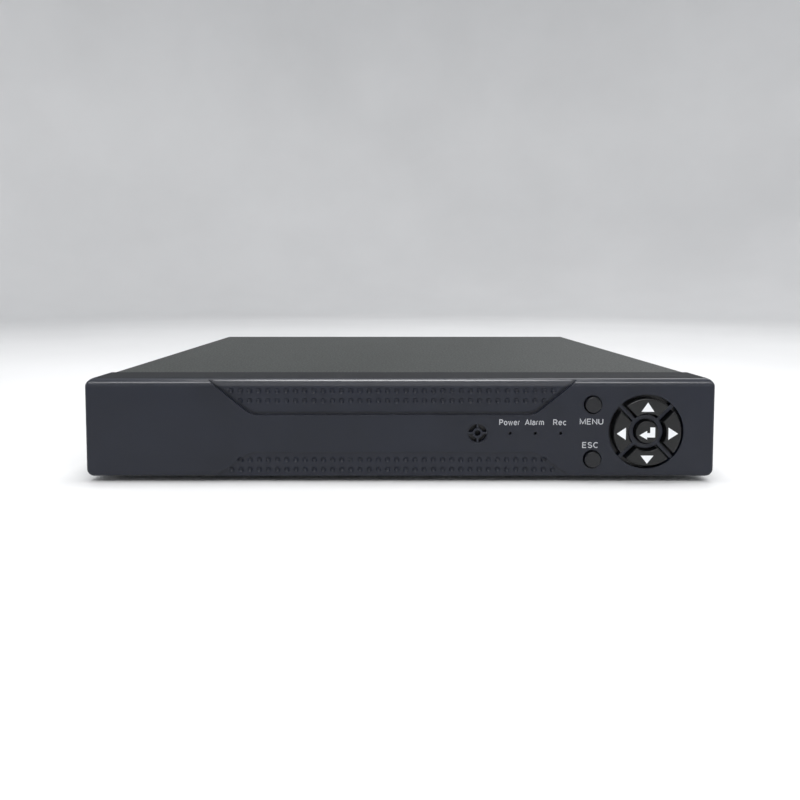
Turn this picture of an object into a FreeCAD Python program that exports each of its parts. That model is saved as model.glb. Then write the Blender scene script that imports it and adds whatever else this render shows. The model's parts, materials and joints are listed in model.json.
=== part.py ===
"""Video recorder for security cameras: a desktop unit with a moulded front panel and keys, a folded steel
cover and tray, a row of camera sockets on the rear plate, a main board and a hard disk inside.

Frame: millimetres, +Z up, the front panel faces -Y, the sockets face +Y. The origin is at the middle of the
bounding box in X and Y, and at the underside of the rubber feet in Z.
"""
import FreeCAD
import Part
import math
import os
import Sketcher

DIMENSIONS = {
    # overall
    "panel_width": 255,
    "body_width": 250,
    "body_depth": 220,
    "body_height": 40,
    "foot_height": 2.5,
    "foot_radius": 7,
    "key_proud": 1.6,
    "socket_proud": 12.5,
    # sheet metal
    "sheet": 0.8,
    "sheet_gap": 0.15,
    "seam": 0.3,
    "cover_drop": 0.3,
    "bend_radius": 1.2,
    "side_flange": 5.6,
    "top_flange": 3.5,
    "tab_width": 2.8,
    "tab_drop": 2.2,
    "mitre_slit": 0.2,
    "vent_slots": 14,
    "vent_pitch": 6.5,
    "vent_width": 2.2,
    "vent_height": 15,
    # front panel
    "panel_depth": 20,
    "panel_wall": 2.4,
    "panel_top_radius": 3.2,
    "panel_bottom_radius": 1.4,
    "panel_end_radius": 1.2,
    "panel_corner_radius": 3,
    "relief_left": -78.5,
    "relief_right": 72.7,
    "relief_slope_run": 18.3,
    "relief_corner": 8,
    "relief_depth": 0.8,
    "relief_upper_edge": 25.2,
    "relief_lower_edge": 10,
    "relief_lower_left": -75.5,
    "relief_lower_right": 70,
    "relief_lower_run": 15.2,
    "relief_lower_corner": 4,
    "groove_width": 1.2,
    "groove_depth": 1.4,
    "long_row_pits": 36,
    "short_row_pits": 34,
    "pit_first_x": -68.4,
    "pit_pitch": 3.73,
    "pit_ball": 1.3,
    "pit_depth": 0.6,
    "pit_top_z": 35,
    "pit_bottom_z": 2.75,
    "pit_row_pitch": 4,
    "port_x": 31.5,
    "port_z": 17.8,
    "port_radius": 4.1,
    "port_recess": 0.4,
    "port_slot_outer": 3.7,
    "port_slot_inner": 2.1,
    "port_hole": 1.15,
    "port_web": 0.9,
    "led_lights": 3,
    "led_first_x": 44.6,
    "led_pitch": 10.25,
    "led_hole": 0.6,
    # keys
    "menu_x": 78,
    "menu_z": 29.5,
    "escape_z": 7.2,
    "round_key_radius": 3.25,
    "round_key_hole": 3.7,
    "round_key_proud": 1.3,
    "pad_x": 99.7,
    "pad_z": 18.5,
    "pad_radius": 15.1,
    "pad_recess": 0.6,
    "pad_ring_outer": 6.9,
    "pad_ring_inner": 5.1,
    "pad_rib": 1.5,
    "pad_gap": 0.75,
    "pad_key_outer": 13.6,
    "pad_key_inner": 7.6,
    "enter_radius": 4.6,
    "key_edge": 0.5,
    "key_flange": 0.9,
    "key_flange_depth": 1.1,
    "key_flange_gap": 0.25,
    "stem_radius": 1.6,
    "plunger_radius": 1.7,
    "plunger_clearance": 0.1,
    "plunger_front": 5.4,
    "plunger_length": 1.7,
    "switch_side": 6.1,
    "switch_front": 6.3,
    "switch_bore": 1.6,
    "key_board_front": 9.8,
    "board_thickness": 1.6,
    "key_board_left": 22,
    "key_board_right": 116.3,
    "key_board_low": 3.6,
    "key_board_high": 36.2,
    # rear sockets, measured from the middle of the rear plate and from the underside of the tray
    "camera_stacks": 4,
    "camera_first_x": -10.5,
    "camera_pitch_x": 16.2,
    "camera_low_z": 12.1,
    "camera_pitch_z": 14.8,
    "camera_hole": 6.6,
    "camera_neck": 6.3,
    "camera_barrel": 4.85,
    "camera_bore": 4.15,
    "camera_block_width": 14.4,
    "camera_block_depth": 16,
    "camera_block_top": 35,
    "hd_x": -29.9,
    "hd_z": 9.3,
    "hd_half_width": 7.5,
    "hd_half_height": 2.8,
    "hd_depth": 11,
    "hd_proud": 0.9,
    "audio_x": -48.6,
    "audio_high_z": 25.9,
    "audio_low_z": 12.4,
    "audio_barrel": 4.15,
    "audio_insert": 3.2,
    "audio_bore": 1.6,
    "audio_collar": 5,
    "audio_proud": 9.5,
    "audio_block_depth": 12,
    "audio_screw_x": -55.7,
    "audio_screw_z": 18.9,
    "lan_x": -68.9,
    "lan_width": 18.6,
    "lan_low": 5.7,
    "lan_height": 30.3,
    "lan_depth": 22,
    "lan_proud": 2,
    "lan_skin": 0.35,
    "monitor_x": -100.5,
    "monitor_z": 30.2,
    "monitor_width": 16.9,
    "monitor_height": 8.4,
    "monitor_taper": 0.75,
    "monitor_corner": 2.5,
    "monitor_skin": 0.45,
    "monitor_proud": 5.8,
    "jackscrew_pitch": 24.99,
    "jackscrew_radius": 2.8,
    "jackscrew_bore": 1.25,
    "jackscrew_proud": 5,
    "power_x": -85.2,
    "power_low": 5.9,
    "power_width": 9.3,
    "power_height": 10.9,
    "power_depth": 13,
    "power_proud": 1.2,
    "power_bore": 3.15,
    "power_pin": 1.05,
    # main board
    "board_left": -120,
    "board_right": 54,
    "board_depth": 84,
    "board_low": 4.1,
    "standoff_radius": 2.6,
    "screw_shank": 1.3,
    "screw_clearance": 1.7,
    "screw_head": 2.8,
    "screw_head_height": 1.7,
    # hard disk
    "disk_left": -28,
    "disk_front": 26,
    "disk_length": 147,
    "disk_width": 101.6,
    "disk_height": 26.1,
    "disk_low": 2.8,
    "disk_wall": 3,
    "disk_floor": 5,
    "disk_lid": 1,
    "spindle_x": 95.5,
    "spindle_y": 50.8,
    "spindle_radius": 5,
    "hub_radius": 12.5,
    "platter_radius": 47.2,
    "platter_thickness": 1.27,
    "platter_pitch": 4.2,
    "platter_first": 5,
    "pivot_x": 39.5,
    "pivot_y": 30.8,
    "pivot_radius": 4,
    "turning_clearance": 0.05,
    "arm_length": 46,
    "arm_thickness": 1,
    "arm_parked_angle": 74,
    "platter_room": 0.8,
    "corner_length": 62,
    "sleeve_radius": 7.5,
    "arm_root": 12,
    "arm_tip": 3.6,
    "arms": 3,
    "coil_length": 19,
    "coil_half": 9,
    "coil_thickness": 2,
    "disk_hole_x": 28.5,
    "disk_hole_pitch": 101.6,
    "disk_hole_y": 3.2,
    "disk_slot_y": 46,
    "disk_slot_width": 44,
    # shared small sizes
    "over": 1,
    "socket_gap": 0.2,
    "hair_gap": 0.05,
    "seat_step": 0.4,
    "switch_reach": 11,
    "panel_post_x": 120.8,
    "panel_post_z": 20,
    "board_post_inset": 3,
    "board_post_x": 8.5,
    "post_radius": 2.4,
    "screw_bore": 1.35,
    "screw_slot": 0.8,
    "inner_screw": 4,
    "short_screw": 5,
    "panel_screw_length": 8,
    "pad_flange_inner": 6.3,
    "pad_flange_outer": 15.8,
    "pad_flange_offset": 0.6,
    "enter_flange": 5.7,
    "led_tip_y": 1.8,
    "led_tip": 0.5,
    "led_body_y": 5.5,
    "led_body": 1.5,
    "sounder_radius": 5,
    "vent_first": 90,
    "vent_low": 16,
    "side_screw_front": 50,
    "side_screw_rear": 190,
    "side_screw_z": 8,
    "lip_height": 13,
    "flange_end_radius": 3,
    "board_rear_gap": 0.6,
    "standoff_inset": 4.5,
    "standoff_middle_x": -30,
    "foot_taper": 0.8,
    "foot_x": 113,
    "foot_front": 34,
    "foot_rear": 204,
    # socket details
    "camera_neck_length": 3,
    "camera_insulator": 2.45,
    "insulator_back": 1.6,
    "contact_radius": 0.85,
    "contact_bore": 0.5,
    "contact_depth": 5,
    "lug_proud": 0.7,
    "lug_back": 3.4,
    "lug_radius": 1,
    "audio_half_width": 6,
    "audio_collar_length": 1.6,
    "socket_skin": 0.4,
    "hd_corner": 1.6,
    "hd_leg": 2.5,
    "hd_back": 4,
    "hd_tongue_width": 11,
    "hd_tongue": 1,
    "network_low": 23.6,
    "network_body": 6.7,
    "network_step": 2,
    "network_width": 12.2,
    "network_middle": 6.4,
    "network_latch": 4,
    "usb_low_z": 7.4,
    "usb_high_z": 15.8,
    "usb_width": 12.8,
    "usb_height": 5.1,
    "usb_tongue_width": 11.2,
    "usb_tongue": 1.8,
    "usb_tongue_drop": 2.3,
    "socket_hollow": 13,
    "socket_light_x": 5.9,
    "socket_light_z": 32.2,
    "socket_light_width": 4.6,
    "socket_light_height": 2.2,
    "socket_light_depth": 3,
    "monitor_plate_width": 30.8,
    "monitor_plate_height": 12.5,
    "monitor_body_depth": 9,
    "monitor_pin_pitch": 2.29,
    "monitor_row_pitch": 1.98,
    "monitor_pin_radius": 0.55,
    "jackscrew_shank": 1.4,
    # parts on the main board
    "heatsink_side": 40,
    "heatsink_height": 12,
    "heatsink_base": 2.5,
    "fins": 9,
    "fin_pitch": 4.75,
    "fin_width": 2,
    "processor_x": -14,
    "processor_y": 20,
    "video_chips": 4,
    "memory_chips": 2,
    "chip_height": 1.2,
    "chip_side": 12,
    "chip_first_x": -40,
    "chip_pitch": 17,
    "chip_y": 10,
    "memory_x": -28,
    "capacitors": 5,
    "capacitor_x": -104,
    "capacitor_pitch": 12,
    "capacitor_y": 50,
    "capacitor_radius": 4,
    "capacitor_height": 11,
    "cell_x": 40,
    "cell_y": 48,
    "cell_radius": 10,
    "cell_height": 3.2,
    "cell_wall": 1,
    # cables
    "plug_depth": 8,
    "plug_height": 5,
    "data_plug_y": 78,
    "data_plug_width": 14,
    "data_cable_width": 8,
    "data_cable_thick": 1.3,
    "data_bend_x": -52,
    "bend_outer": 12,
    "power_plug_y": 56,
    "power_plug_width": 17,
    "power_bend_x": -78,
    "wire_pitch": 2.4,
    "wire_radius": 0.9,
    "cable_overlap": 6,
    "ribbon_x": 36,
    "ribbon_width": 12,
    "ribbon_thick": 0.4,
    "ribbon_window": 18,
    "ribbon_window_low": 27,
    "ribbon_window_height": 8,
    "ribbon_socket": 3,
}

doc = FreeCAD.newDocument("recorder")
nodes = []


class Size:
    """A length with its value and the sheet formula that it stands for."""

    def __init__(self, value, formula):
        self.value = value
        self.formula = formula

    def combine(self, other, sign, value):
        return Size(value, f"({self.formula} {sign} {formula_of(other)})")

    def __add__(self, other):
        return self.combine(other, "+", self.value + value_of(other))

    def __sub__(self, other):
        return self.combine(other, "-", self.value - value_of(other))

    def __mul__(self, other):
        return self.combine(other, "*", self.value * value_of(other))

    def __truediv__(self, other):
        return self.combine(other, "/", self.value / value_of(other))

    def __radd__(self, other):
        return Size(other, repr(other)) + self

    def __rsub__(self, other):
        return Size(other, repr(other)) - self

    def __rmul__(self, other):
        return Size(other, repr(other)) * self

    def __neg__(self):
        return Size(-self.value, f"(-1 * {self.formula})")


def root(size):
    return Size(math.sqrt(size.value), f"sqrt({size.formula})")


def value_of(size):
    return size.value if isinstance(size, Size) else size


def formula_of(size):
    return size.formula if isinstance(size, Size) else repr(size)


class Sheet:
    """The driving dimensions, each a Size whose formula is its cell."""

    def __init__(self, table):
        self.cells = doc.addObject("Spreadsheet::Sheet", "dims")
        for row, (alias, value) in enumerate(table.items(), start=1):
            self.cells.set(f"A{row}", alias)
            self.cells.set(f"B{row}", str(value))
            self.cells.setAlias(f"B{row}", alias)
            setattr(self, alias, Size(value, f"dims.{alias}"))
        doc.recompute()


def bind(item, **sizes):
    """Binds properties to sheet formulas."""
    for name, size in sizes.items():
        item.setExpression(name, formula_of(size))


def place(item, x=0, y=0, z=0):
    """Binds an object's position to sheet formulas."""
    for axis, size in (("x", x), ("y", y), ("z", z)):
        item.setExpression(f"Placement.Base.{axis}", formula_of(size))


def box(low, size):
    item = doc.addObject("Part::Box", "box")
    bind(item, Length=size[0], Width=size[1], Height=size[2])
    place(item, *low)
    return item


UP = FreeCAD.Vector(0, 0, 1)
SHORTEST_EDGE = 0.001
TURNS = {
    "x": FreeCAD.Rotation(FreeCAD.Vector(0, 1, 0), 90),
    "y": FreeCAD.Rotation(FreeCAD.Vector(1, 0, 0), -90),
    "z": FreeCAD.Rotation(),
}


def turn(item, axis):
    """Lays an object made along +Z along the axis named."""
    item.Placement = FreeCAD.Placement(FreeCAD.Vector(), TURNS[axis])


def cylinder(base, radius, length, axis="y"):
    item = doc.addObject("Part::Cylinder", "cylinder")
    turn(item, axis)
    bind(item, Radius=radius, Height=length)
    place(item, *base)
    return item


def hexagon(base, radius, length, axis="y"):
    item = doc.addObject("Part::Prism", "hexagon")
    turn(item, axis)
    item.Polygon = 6
    bind(item, Circumradius=radius, Height=length)
    place(item, *base)
    return item


def fuse(items):
    if len(items) == 1:
        return items[0]
    item = doc.addObject("Part::MultiFuse", "fuse")
    item.Shapes = items
    return item


def cut(base, tools):
    item = doc.addObject("Part::Cut", "cut")
    item.Base = base
    item.Tool = fuse(tools)
    return item


def common(first, second):
    item = doc.addObject("Part::Common", "common")
    item.Base = first
    item.Tool = second
    return item


def group(items):
    """Separate solids in one node."""
    item = doc.addObject("Part::Compound", "group")
    item.Links = items
    return item


def fillet(base, rounds):
    """Rounds edges: rounds is a list of (radius, test), where test takes an edge's middle and direction."""
    doc.recompute()
    chosen = []
    for number, edge in enumerate(base.Shape.Edges, start=1):
        if edge.Length < SHORTEST_EDGE:
            continue
        middle = edge.CenterOfMass
        direction = edge.tangentAt((edge.FirstParameter + edge.LastParameter) / 2)
        for radius, test in rounds:
            if test(middle, direction):
                chosen.append((number, value_of(radius), value_of(radius)))
                break
    item = doc.addObject("Part::Fillet", "fillet")
    item.Base = base
    item.Edges = chosen
    return item


def new_body(name):
    return doc.addObject("PartDesign::Body", name)


def new_sketch(body, plane):
    """A sketch on one of the body's origin planes."""
    sketch = body.newObject("Sketcher::SketchObject", "sketch")
    support = [item for item in body.Origin.OriginFeatures if item.Role == plane][0]
    sketch.AttachmentSupport = [(support, "")]
    sketch.MapMode = "FlatFace"
    return sketch


def fix_point(sketch, geometry, end, point):
    for kind, size in zip(("DistanceX", "DistanceY"), point):
        number = sketch.addConstraint(
            Sketcher.Constraint(kind, -1, 1, geometry, end, value_of(size))
        )
        sketch.setExpression(f"Constraints[{number}]", formula_of(size))


def draw_polygon(sketch, points):
    """A closed outline of straight lines, with each corner bound to the sheet."""
    first = sketch.GeometryCount
    sides = len(points)
    corners = [FreeCAD.Vector(value_of(x), value_of(y), 0) for x, y in points]
    for number in range(sides):
        sketch.addGeometry(Part.LineSegment(corners[number], corners[(number + 1) % sides]))
    for number in range(sides):
        after = (number + 1) % sides
        sketch.addConstraint(
            Sketcher.Constraint("Coincident", first + number, 2, first + after, 1)
        )
        fix_point(sketch, first + number, 1, points[number])


def pad(body, sketch, length, away=False):
    feature = body.newObject("PartDesign::Pad", "pad")
    feature.Profile = sketch
    feature.Reversed = away
    bind(feature, Length=length)
    return feature


def prism(points, length, base=(0, 0, 0), plane="XZ_Plane"):
    """A pad of an outline: drawn in X and Z it grows along +Y, and in the other planes along their normal."""
    body = new_body("prism")
    sketch = new_sketch(body, plane)
    draw_polygon(sketch, points)
    pad(body, sketch, length, away=plane == "XZ_Plane")
    place(body, *base)
    return body


def turned(profile, base=(0, 0, 0), axis="y"):
    """A body of revolution about the axis named: profile holds (radius, distance along the axis) corners."""
    body = new_body("turned")
    sketch = new_sketch(body, "XY_Plane" if axis == "y" else "XZ_Plane")
    draw_polygon(sketch, profile)
    feature = body.newObject("PartDesign::Revolution", "revolution")
    feature.Profile = sketch
    feature.ReferenceAxis = (sketch, ["V_Axis"])
    feature.Angle = 360
    place(body, *base)
    return body


def node(item, label, at=(0, 0, 0), angle=None):
    """Names a finished sub-part and moves it from the panel's corner into the frame."""
    if item.TypeId.startswith(("Part::Box", "Part::Cylinder", "PartDesign")):
        item = group([item])
    item.Label = label
    if angle is not None:
        item.Placement = FreeCAD.Placement(FreeCAD.Vector(), FreeCAD.Rotation(UP, 1))
        item.setExpression("Placement.Rotation.Angle", formula_of(angle))
    place(item, at[0], at[1] + front_y, at[2] + d.foot_height)
    nodes.append(item)
    return item


d = Sheet(DIMENSIONS)


def count(size):
    """The numbers 0, 1, 2 ... for a quantity in the sheet."""
    return range(int(size.value))


front_y = d.key_proud - (d.key_proud + d.body_depth + d.socket_proud) / 2


def tube(base, outer, inner, length, axis="y"):
    return cut(cylinder(base, outer, length, axis), [cylinder(base, inner, length, axis)])


def along(axis):
    """A test for edges that run along the axis named."""
    return lambda middle, direction: abs(getattr(direction, axis)) > 0.99


def near(first, second):
    return abs(first - value_of(second)) < 0.01


# ---------------------------------------------------------------- front panel

key_centres = {
    "menu_key": (d.menu_x, d.menu_z),
    "escape_key": (d.menu_x, d.escape_z),
    "up_key": (d.pad_x, d.pad_z + d.switch_reach),
    "right_key": (d.pad_x + d.switch_reach, d.pad_z),
    "down_key": (d.pad_x, d.pad_z - d.switch_reach),
    "left_key": (d.pad_x - d.switch_reach, d.pad_z),
    "enter_key": (d.pad_x, d.pad_z),
}
panel_posts = [(-d.panel_post_x, d.panel_post_z), (-d.menu_x, d.panel_post_z),
               (d.panel_post_x, d.panel_post_z)]
board_posts = [(d.key_board_left + d.board_post_inset, d.key_board_high - d.board_post_inset),
               (d.key_board_left + d.board_post_inset, d.key_board_low + d.board_post_inset),
               (d.menu_x - d.board_post_x, d.key_board_high - d.board_post_inset),
               (d.menu_x - d.board_post_x, d.key_board_low + d.board_post_inset)]


def trapezoid(left, right, run, low, high, wide, narrow, inset):
    """Corners of a relief that is widest at the height `wide` and narrowest at the height `narrow`."""
    lean = run / (wide - narrow)
    shift = inset * root(1 + lean * lean)

    def edge(height):
        reach = (wide - height) * lean
        return left + reach + shift, right - reach - shift

    low_left, low_right = edge(low)
    high_left, high_right = edge(high)
    return [(low_left, low), (low_right, low), (high_right, high), (high_left, high)]


def upper_relief(depth, inset):
    """A tool for the relief that is open at the panel's top edge."""
    low = d.relief_upper_edge + inset
    high = d.body_height + d.over
    outline = trapezoid(d.relief_left, d.relief_right, d.relief_slope_run, low, high,
                        d.body_height, d.relief_upper_edge, inset)
    tool = prism(outline, depth + d.over, (0, -d.over, 0))
    corner = d.relief_corner - inset
    return fillet(tool, [(corner, lambda middle, direction: near(middle.z, low) and abs(direction.y) > 0.99)])


def lower_relief(depth):
    """A tool for the relief that is open at the panel's bottom edge."""
    low = -d.over
    high = d.relief_lower_edge
    lean = d.relief_lower_run / high
    outline = [(d.relief_lower_left - lean * d.over, low), (d.relief_lower_right + lean * d.over, low),
               (d.relief_lower_right - d.relief_lower_run, high),
               (d.relief_lower_left + d.relief_lower_run, high)]
    tool = prism(outline, depth + d.over, (0, -d.over, 0))
    return fillet(tool, [(d.relief_lower_corner,
                          lambda middle, direction: near(middle.z, high) and abs(direction.y) > 0.99)])


def diagonal_bar(centre, half_width, length, front, depth, side):
    """A bar that crosses the centre at 45 degrees; side is 1 or -1 for its direction."""
    share = root(Size(0.5, "0.5"))
    reach = (length + half_width) * share
    short = (length - half_width) * share
    corners = [(short, reach), (-reach, -short), (-short, -reach), (reach, short)]
    outline = [(centre[0] + side * u, centre[1] + v) for u, v in corners]
    return prism(outline, depth, (0, front, 0))


def panel_shell():
    outer = box((-d.panel_width / 2, 0, 0), (d.panel_width, d.panel_depth, d.body_height))
    top = value_of(d.body_height)
    rounds = [
        (d.panel_top_radius, lambda middle, direction: near(middle.y, 0) and near(middle.z, top)),
        (d.panel_bottom_radius, lambda middle, direction: near(middle.y, 0) and near(middle.z, 0)),
        (d.panel_end_radius, lambda middle, direction: near(middle.y, 0)),
        (d.panel_corner_radius, along("y")),
    ]
    inner = box((d.panel_wall - d.panel_width / 2, d.panel_wall, d.panel_wall),
                (d.panel_width - d.panel_wall * 2, d.panel_depth, d.body_height - d.panel_wall * 2))
    return cut(fillet(outer, rounds), [inner])


def pit_row(first_x, number, z):
    """A tool for one row of shallow round pits in the floor of a relief: a ball repeated along X."""
    body = new_body("pit_row")
    ball = body.newObject("PartDesign::AdditiveSphere", "ball")
    bind(ball, Radius=d.pit_ball)
    pattern = body.newObject("PartDesign::LinearPattern", "pattern")
    pattern.Originals = [ball]
    axis = [item for item in body.Origin.OriginFeatures if item.Role == "X_Axis"][0]
    pattern.Direction = (axis, [""])
    bind(pattern, Occurrences=number, Length=d.pit_pitch * (number - 1))
    body.Tip = pattern
    place(body, first_x, d.relief_depth + d.pit_depth - d.pit_ball, z)
    return body


def pit_rows():
    long_row = d.long_row_pits
    short_row = d.short_row_pits
    return [pit_row(d.pit_first_x, long_row, d.pit_top_z),
            pit_row(d.pit_first_x + d.pit_pitch, short_row, d.pit_top_z - d.pit_row_pitch),
            pit_row(d.pit_first_x + d.pit_pitch, short_row, d.pit_bottom_z + d.pit_row_pitch),
            pit_row(d.pit_first_x, long_row, d.pit_bottom_z)]


def port_openings():
    centre = (d.port_x, -d.over, d.port_z)
    through = d.panel_wall + d.over * 2
    web = d.port_web
    reach = d.port_radius * 2
    slots = cut(tube(centre, d.port_slot_outer, d.port_slot_inner, through),
                [box((d.port_x - web / 2, -d.over, d.port_z - reach / 2), (web, through, reach)),
                 box((d.port_x - reach / 2, -d.over, d.port_z - web / 2), (reach, through, web))])
    return [cylinder(centre, d.port_radius, d.port_recess + d.over),
            slots, cylinder(centre, d.port_hole, through)]


def pad_openings():
    """The well of the round keypad, the openings of its four sector keys and of the key in the middle."""
    centre = (d.pad_x, -d.over, d.pad_z)
    through = d.panel_wall + d.over * 2
    ribs = [diagonal_bar((d.pad_x, d.pad_z), d.pad_rib / 2, d.pad_radius * 2, -d.over, through, side)
            for side in (1, -1)]
    sectors = cut(tube(centre, d.pad_radius, d.pad_ring_outer, through), ribs)
    return [cylinder(centre, d.pad_radius, d.pad_recess + d.over), sectors,
            cylinder(centre, d.pad_ring_inner, through)]


def front_panel():
    through = d.panel_wall + d.over * 2
    groove = cut(upper_relief(d.groove_depth, 0), [upper_relief(d.groove_depth, d.groove_width)])
    tools = [upper_relief(d.relief_depth, 0), groove, lower_relief(d.relief_depth)]
    tools += port_openings() + pad_openings() + pit_rows()
    for number in count(d.led_lights):
        x = d.led_first_x + number * d.led_pitch
        tools.append(cylinder((x, -d.over, d.port_z), d.led_hole, through))
    for z in (d.menu_z, d.escape_z):
        tools.append(cylinder((d.menu_x, -d.over, z), d.round_key_hole, through))
    shell = cut(panel_shell(), tools)
    posts = []
    for x, z in panel_posts:
        posts.append(tube((x, d.panel_wall, z), d.post_radius, d.screw_bore, d.panel_depth - d.panel_wall))
    for x, z in board_posts:
        length = d.key_board_front - d.panel_wall
        posts.append(tube((x, d.panel_wall, z), d.post_radius, d.screw_bore, length))
    node(fuse([shell] + posts), "front_panel")


# ---------------------------------------------------------------- keys and the board behind them

flange_front = d.panel_wall + d.key_flange_gap
flange_back = flange_front + d.key_flange_depth


def stem(centre):
    return cylinder((centre[0], flange_back, centre[1]), d.stem_radius, d.plunger_front - flange_back)


def round_cap(radius, flange, proud):
    profile = [(0, -proud), (radius, -proud), (radius, flange_front), (flange, flange_front),
               (flange, flange_back), (0, flange_back)]
    return profile


def round_key(label, radius, flange, proud):
    centre = key_centres[label]
    cap = turned(round_cap(radius, flange, proud), (centre[0], 0, centre[1]))
    rounded = fillet(cap, [(d.key_edge, lambda middle, direction: near(middle.y, -proud))])
    node(fuse([rounded, stem(centre)]), label)


def sector(turns, inner, outer, offset, front, depth):
    """A quarter of a ring, kept `offset` away from the diagonals and turned by quarter turns."""
    far = d.pad_radius * 2
    apex = offset * root(Size(2, "2"))
    cosine, sine = [(1, 0), (0, 1), (-1, 0), (0, -1)][turns]
    wedge = []
    for u, v in [(0, apex), (far, far + apex), (-far, far + apex)]:
        wedge.append((d.pad_x + u * cosine - v * sine, d.pad_z + u * sine + v * cosine))
    ring = tube((d.pad_x, front, d.pad_z), outer, inner, depth)
    return common(ring, prism(wedge, depth, (0, front, 0)))


def sector_key(label, turns):
    cap = sector(turns, d.pad_key_inner, d.pad_key_outer, d.pad_rib / 2 + d.pad_gap,
                 -d.key_proud, d.key_proud + flange_front)
    rounded = fillet(cap, [(d.key_edge, lambda middle, direction: near(middle.y, -d.key_proud))])
    flange = sector(turns, d.pad_flange_inner, d.pad_flange_outer, d.pad_flange_offset,
                    flange_front, d.key_flange_depth)
    node(fuse([rounded, flange, stem(key_centres[label])]), label)


def keys():
    for label in ("menu_key", "escape_key"):
        round_key(label, d.round_key_radius, d.round_key_hole + d.key_flange, d.round_key_proud)
    for turns, label in enumerate(("up_key", "left_key", "down_key", "right_key")):
        sector_key(label, turns)
    round_key("enter_key", d.enter_radius, d.enter_flange, d.round_key_proud)
    for label, (x, z) in key_centres.items():
        plunger = cylinder((x, d.plunger_front, z), d.plunger_radius, d.plunger_length)
        node(plunger, label.replace("key", "switch_plunger"))


def switch_bodies():
    side = d.switch_side
    depth = d.key_board_front - d.switch_front
    bodies = []
    for x, z in key_centres.values():
        body = box((x - side / 2, d.switch_front, z - side / 2), (side, depth, side))
        bore = cylinder((x, d.switch_front, z), d.plunger_radius + d.plunger_clearance, d.switch_bore)
        bodies.append(cut(body, [bore]))
    node(group(bodies), "switch_bodies")


def key_board():
    width = d.key_board_right - d.key_board_left
    height = d.key_board_high - d.key_board_low
    board = box((d.key_board_left, d.key_board_front, d.key_board_low), (width, d.board_thickness, height))
    holes = [cylinder((x, d.key_board_front, z), d.screw_clearance, d.board_thickness)
             for x, z in board_posts]
    node(cut(board, holes), "key_board")
    back = d.key_board_front + d.board_thickness
    return [pan_screw((x, back, z), (0, -1, 0), d.inner_screw) for x, z in board_posts]


def pan_screw(seat, direction, length):
    """A pan head with a crossed recess, built on its seat with the shank along +Z, then turned and moved."""
    head = cylinder((0, 0, -d.screw_head_height), d.screw_head, d.screw_head_height, "z")
    shank = cylinder((0, 0, 0), d.screw_shank, length, "z")
    slot = d.screw_slot
    reach = d.screw_shank * 2
    recess = [box((-slot / 2, -reach / 2, -d.screw_head_height), (slot, reach, slot)),
              box((-reach / 2, -slot / 2, -d.screw_head_height), (reach, slot, slot))]
    screw = cut(fuse([head, shank]), recess)
    screw.Placement = FreeCAD.Placement(FreeCAD.Vector(), FreeCAD.Rotation(UP, FreeCAD.Vector(*direction)))
    place(screw, *seat)
    return screw


def status_lights():
    lights = []
    for number in count(d.led_lights):
        x = d.led_first_x + number * d.led_pitch
        base = d.key_board_front
        profile = [(0, d.led_tip_y), (d.led_tip, d.led_tip_y), (d.led_tip, d.led_body_y),
                   (d.led_body, d.led_body_y), (d.led_body, base), (0, base)]
        lights.append(turned(profile, (x, 0, d.port_z)))
    node(group(lights), "status_lights")


def sounder():
    front = d.panel_wall + d.key_flange_gap
    body = cylinder((d.port_x, front, d.port_z), d.sounder_radius, d.key_board_front - front)
    hole = cylinder((d.port_x, front, d.port_z), d.port_hole, d.sheet)
    node(cut(body, [hole]), "sounder")


# ---------------------------------------------------------------- cover, tray and feet

cover_front = d.panel_depth + d.seam
cover_top = d.body_height - d.cover_drop
rear_plate_out = d.body_depth - d.sheet - d.sheet_gap
rear_plate_in = rear_plate_out - d.sheet
tray_half = d.body_width / 2 - d.sheet - d.sheet_gap
side_screws = [(side, y) for side in (-1, 1) for y in (d.side_screw_front, d.side_screw_rear)]


def folded_box(low, high, radius):
    size = [high[number] - low[number] for number in range(3)]
    block = box(low, size)
    top = value_of(high[2])
    rear = value_of(high[1])
    rounds = [
        (radius, lambda middle, direction: near(middle.z, top) and near(middle.y, rear)),
        (radius, lambda middle, direction: near(middle.z, top) and abs(direction.y) > 0.99),
        (radius, lambda middle, direction: near(middle.y, rear) and abs(direction.z) > 0.99),
    ]
    return fillet(block, rounds)


def rear_window():
    """The tool that leaves the cover's rear flanges, with a small tab in each upper corner."""
    half = d.body_width / 2 - d.side_flange
    top = cover_top - d.top_flange
    tab = half - d.tab_width
    outline = [(-half, -d.over), (half, -d.over), (half, top - d.tab_drop), (tab, top - d.tab_drop),
               (tab, top), (-tab, top), (-tab, top - d.tab_drop), (-half, top - d.tab_drop)]
    return prism(outline, d.sheet + d.over * 2, (0, d.body_depth - d.sheet - d.over, 0))


def mitre_slits():
    """Thin slits where the top flange meets the side flanges."""
    slits = []
    reach = d.side_flange
    for side in (-1, 1):
        corner_x = side * (d.body_width / 2 - d.sheet * 2)
        corner_z = cover_top - d.sheet * 2
        low_x = corner_x - side * reach
        low_z = corner_z - d.top_flange
        thin = d.mitre_slit * side
        outline = [(corner_x, corner_z), (low_x, low_z), (low_x + thin, low_z - d.mitre_slit),
                   (corner_x + thin, corner_z - d.mitre_slit)]
        slits.append(prism(outline, d.sheet + d.over * 2, (0, d.body_depth - d.sheet - d.over, 0)))
    return slits


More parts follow.
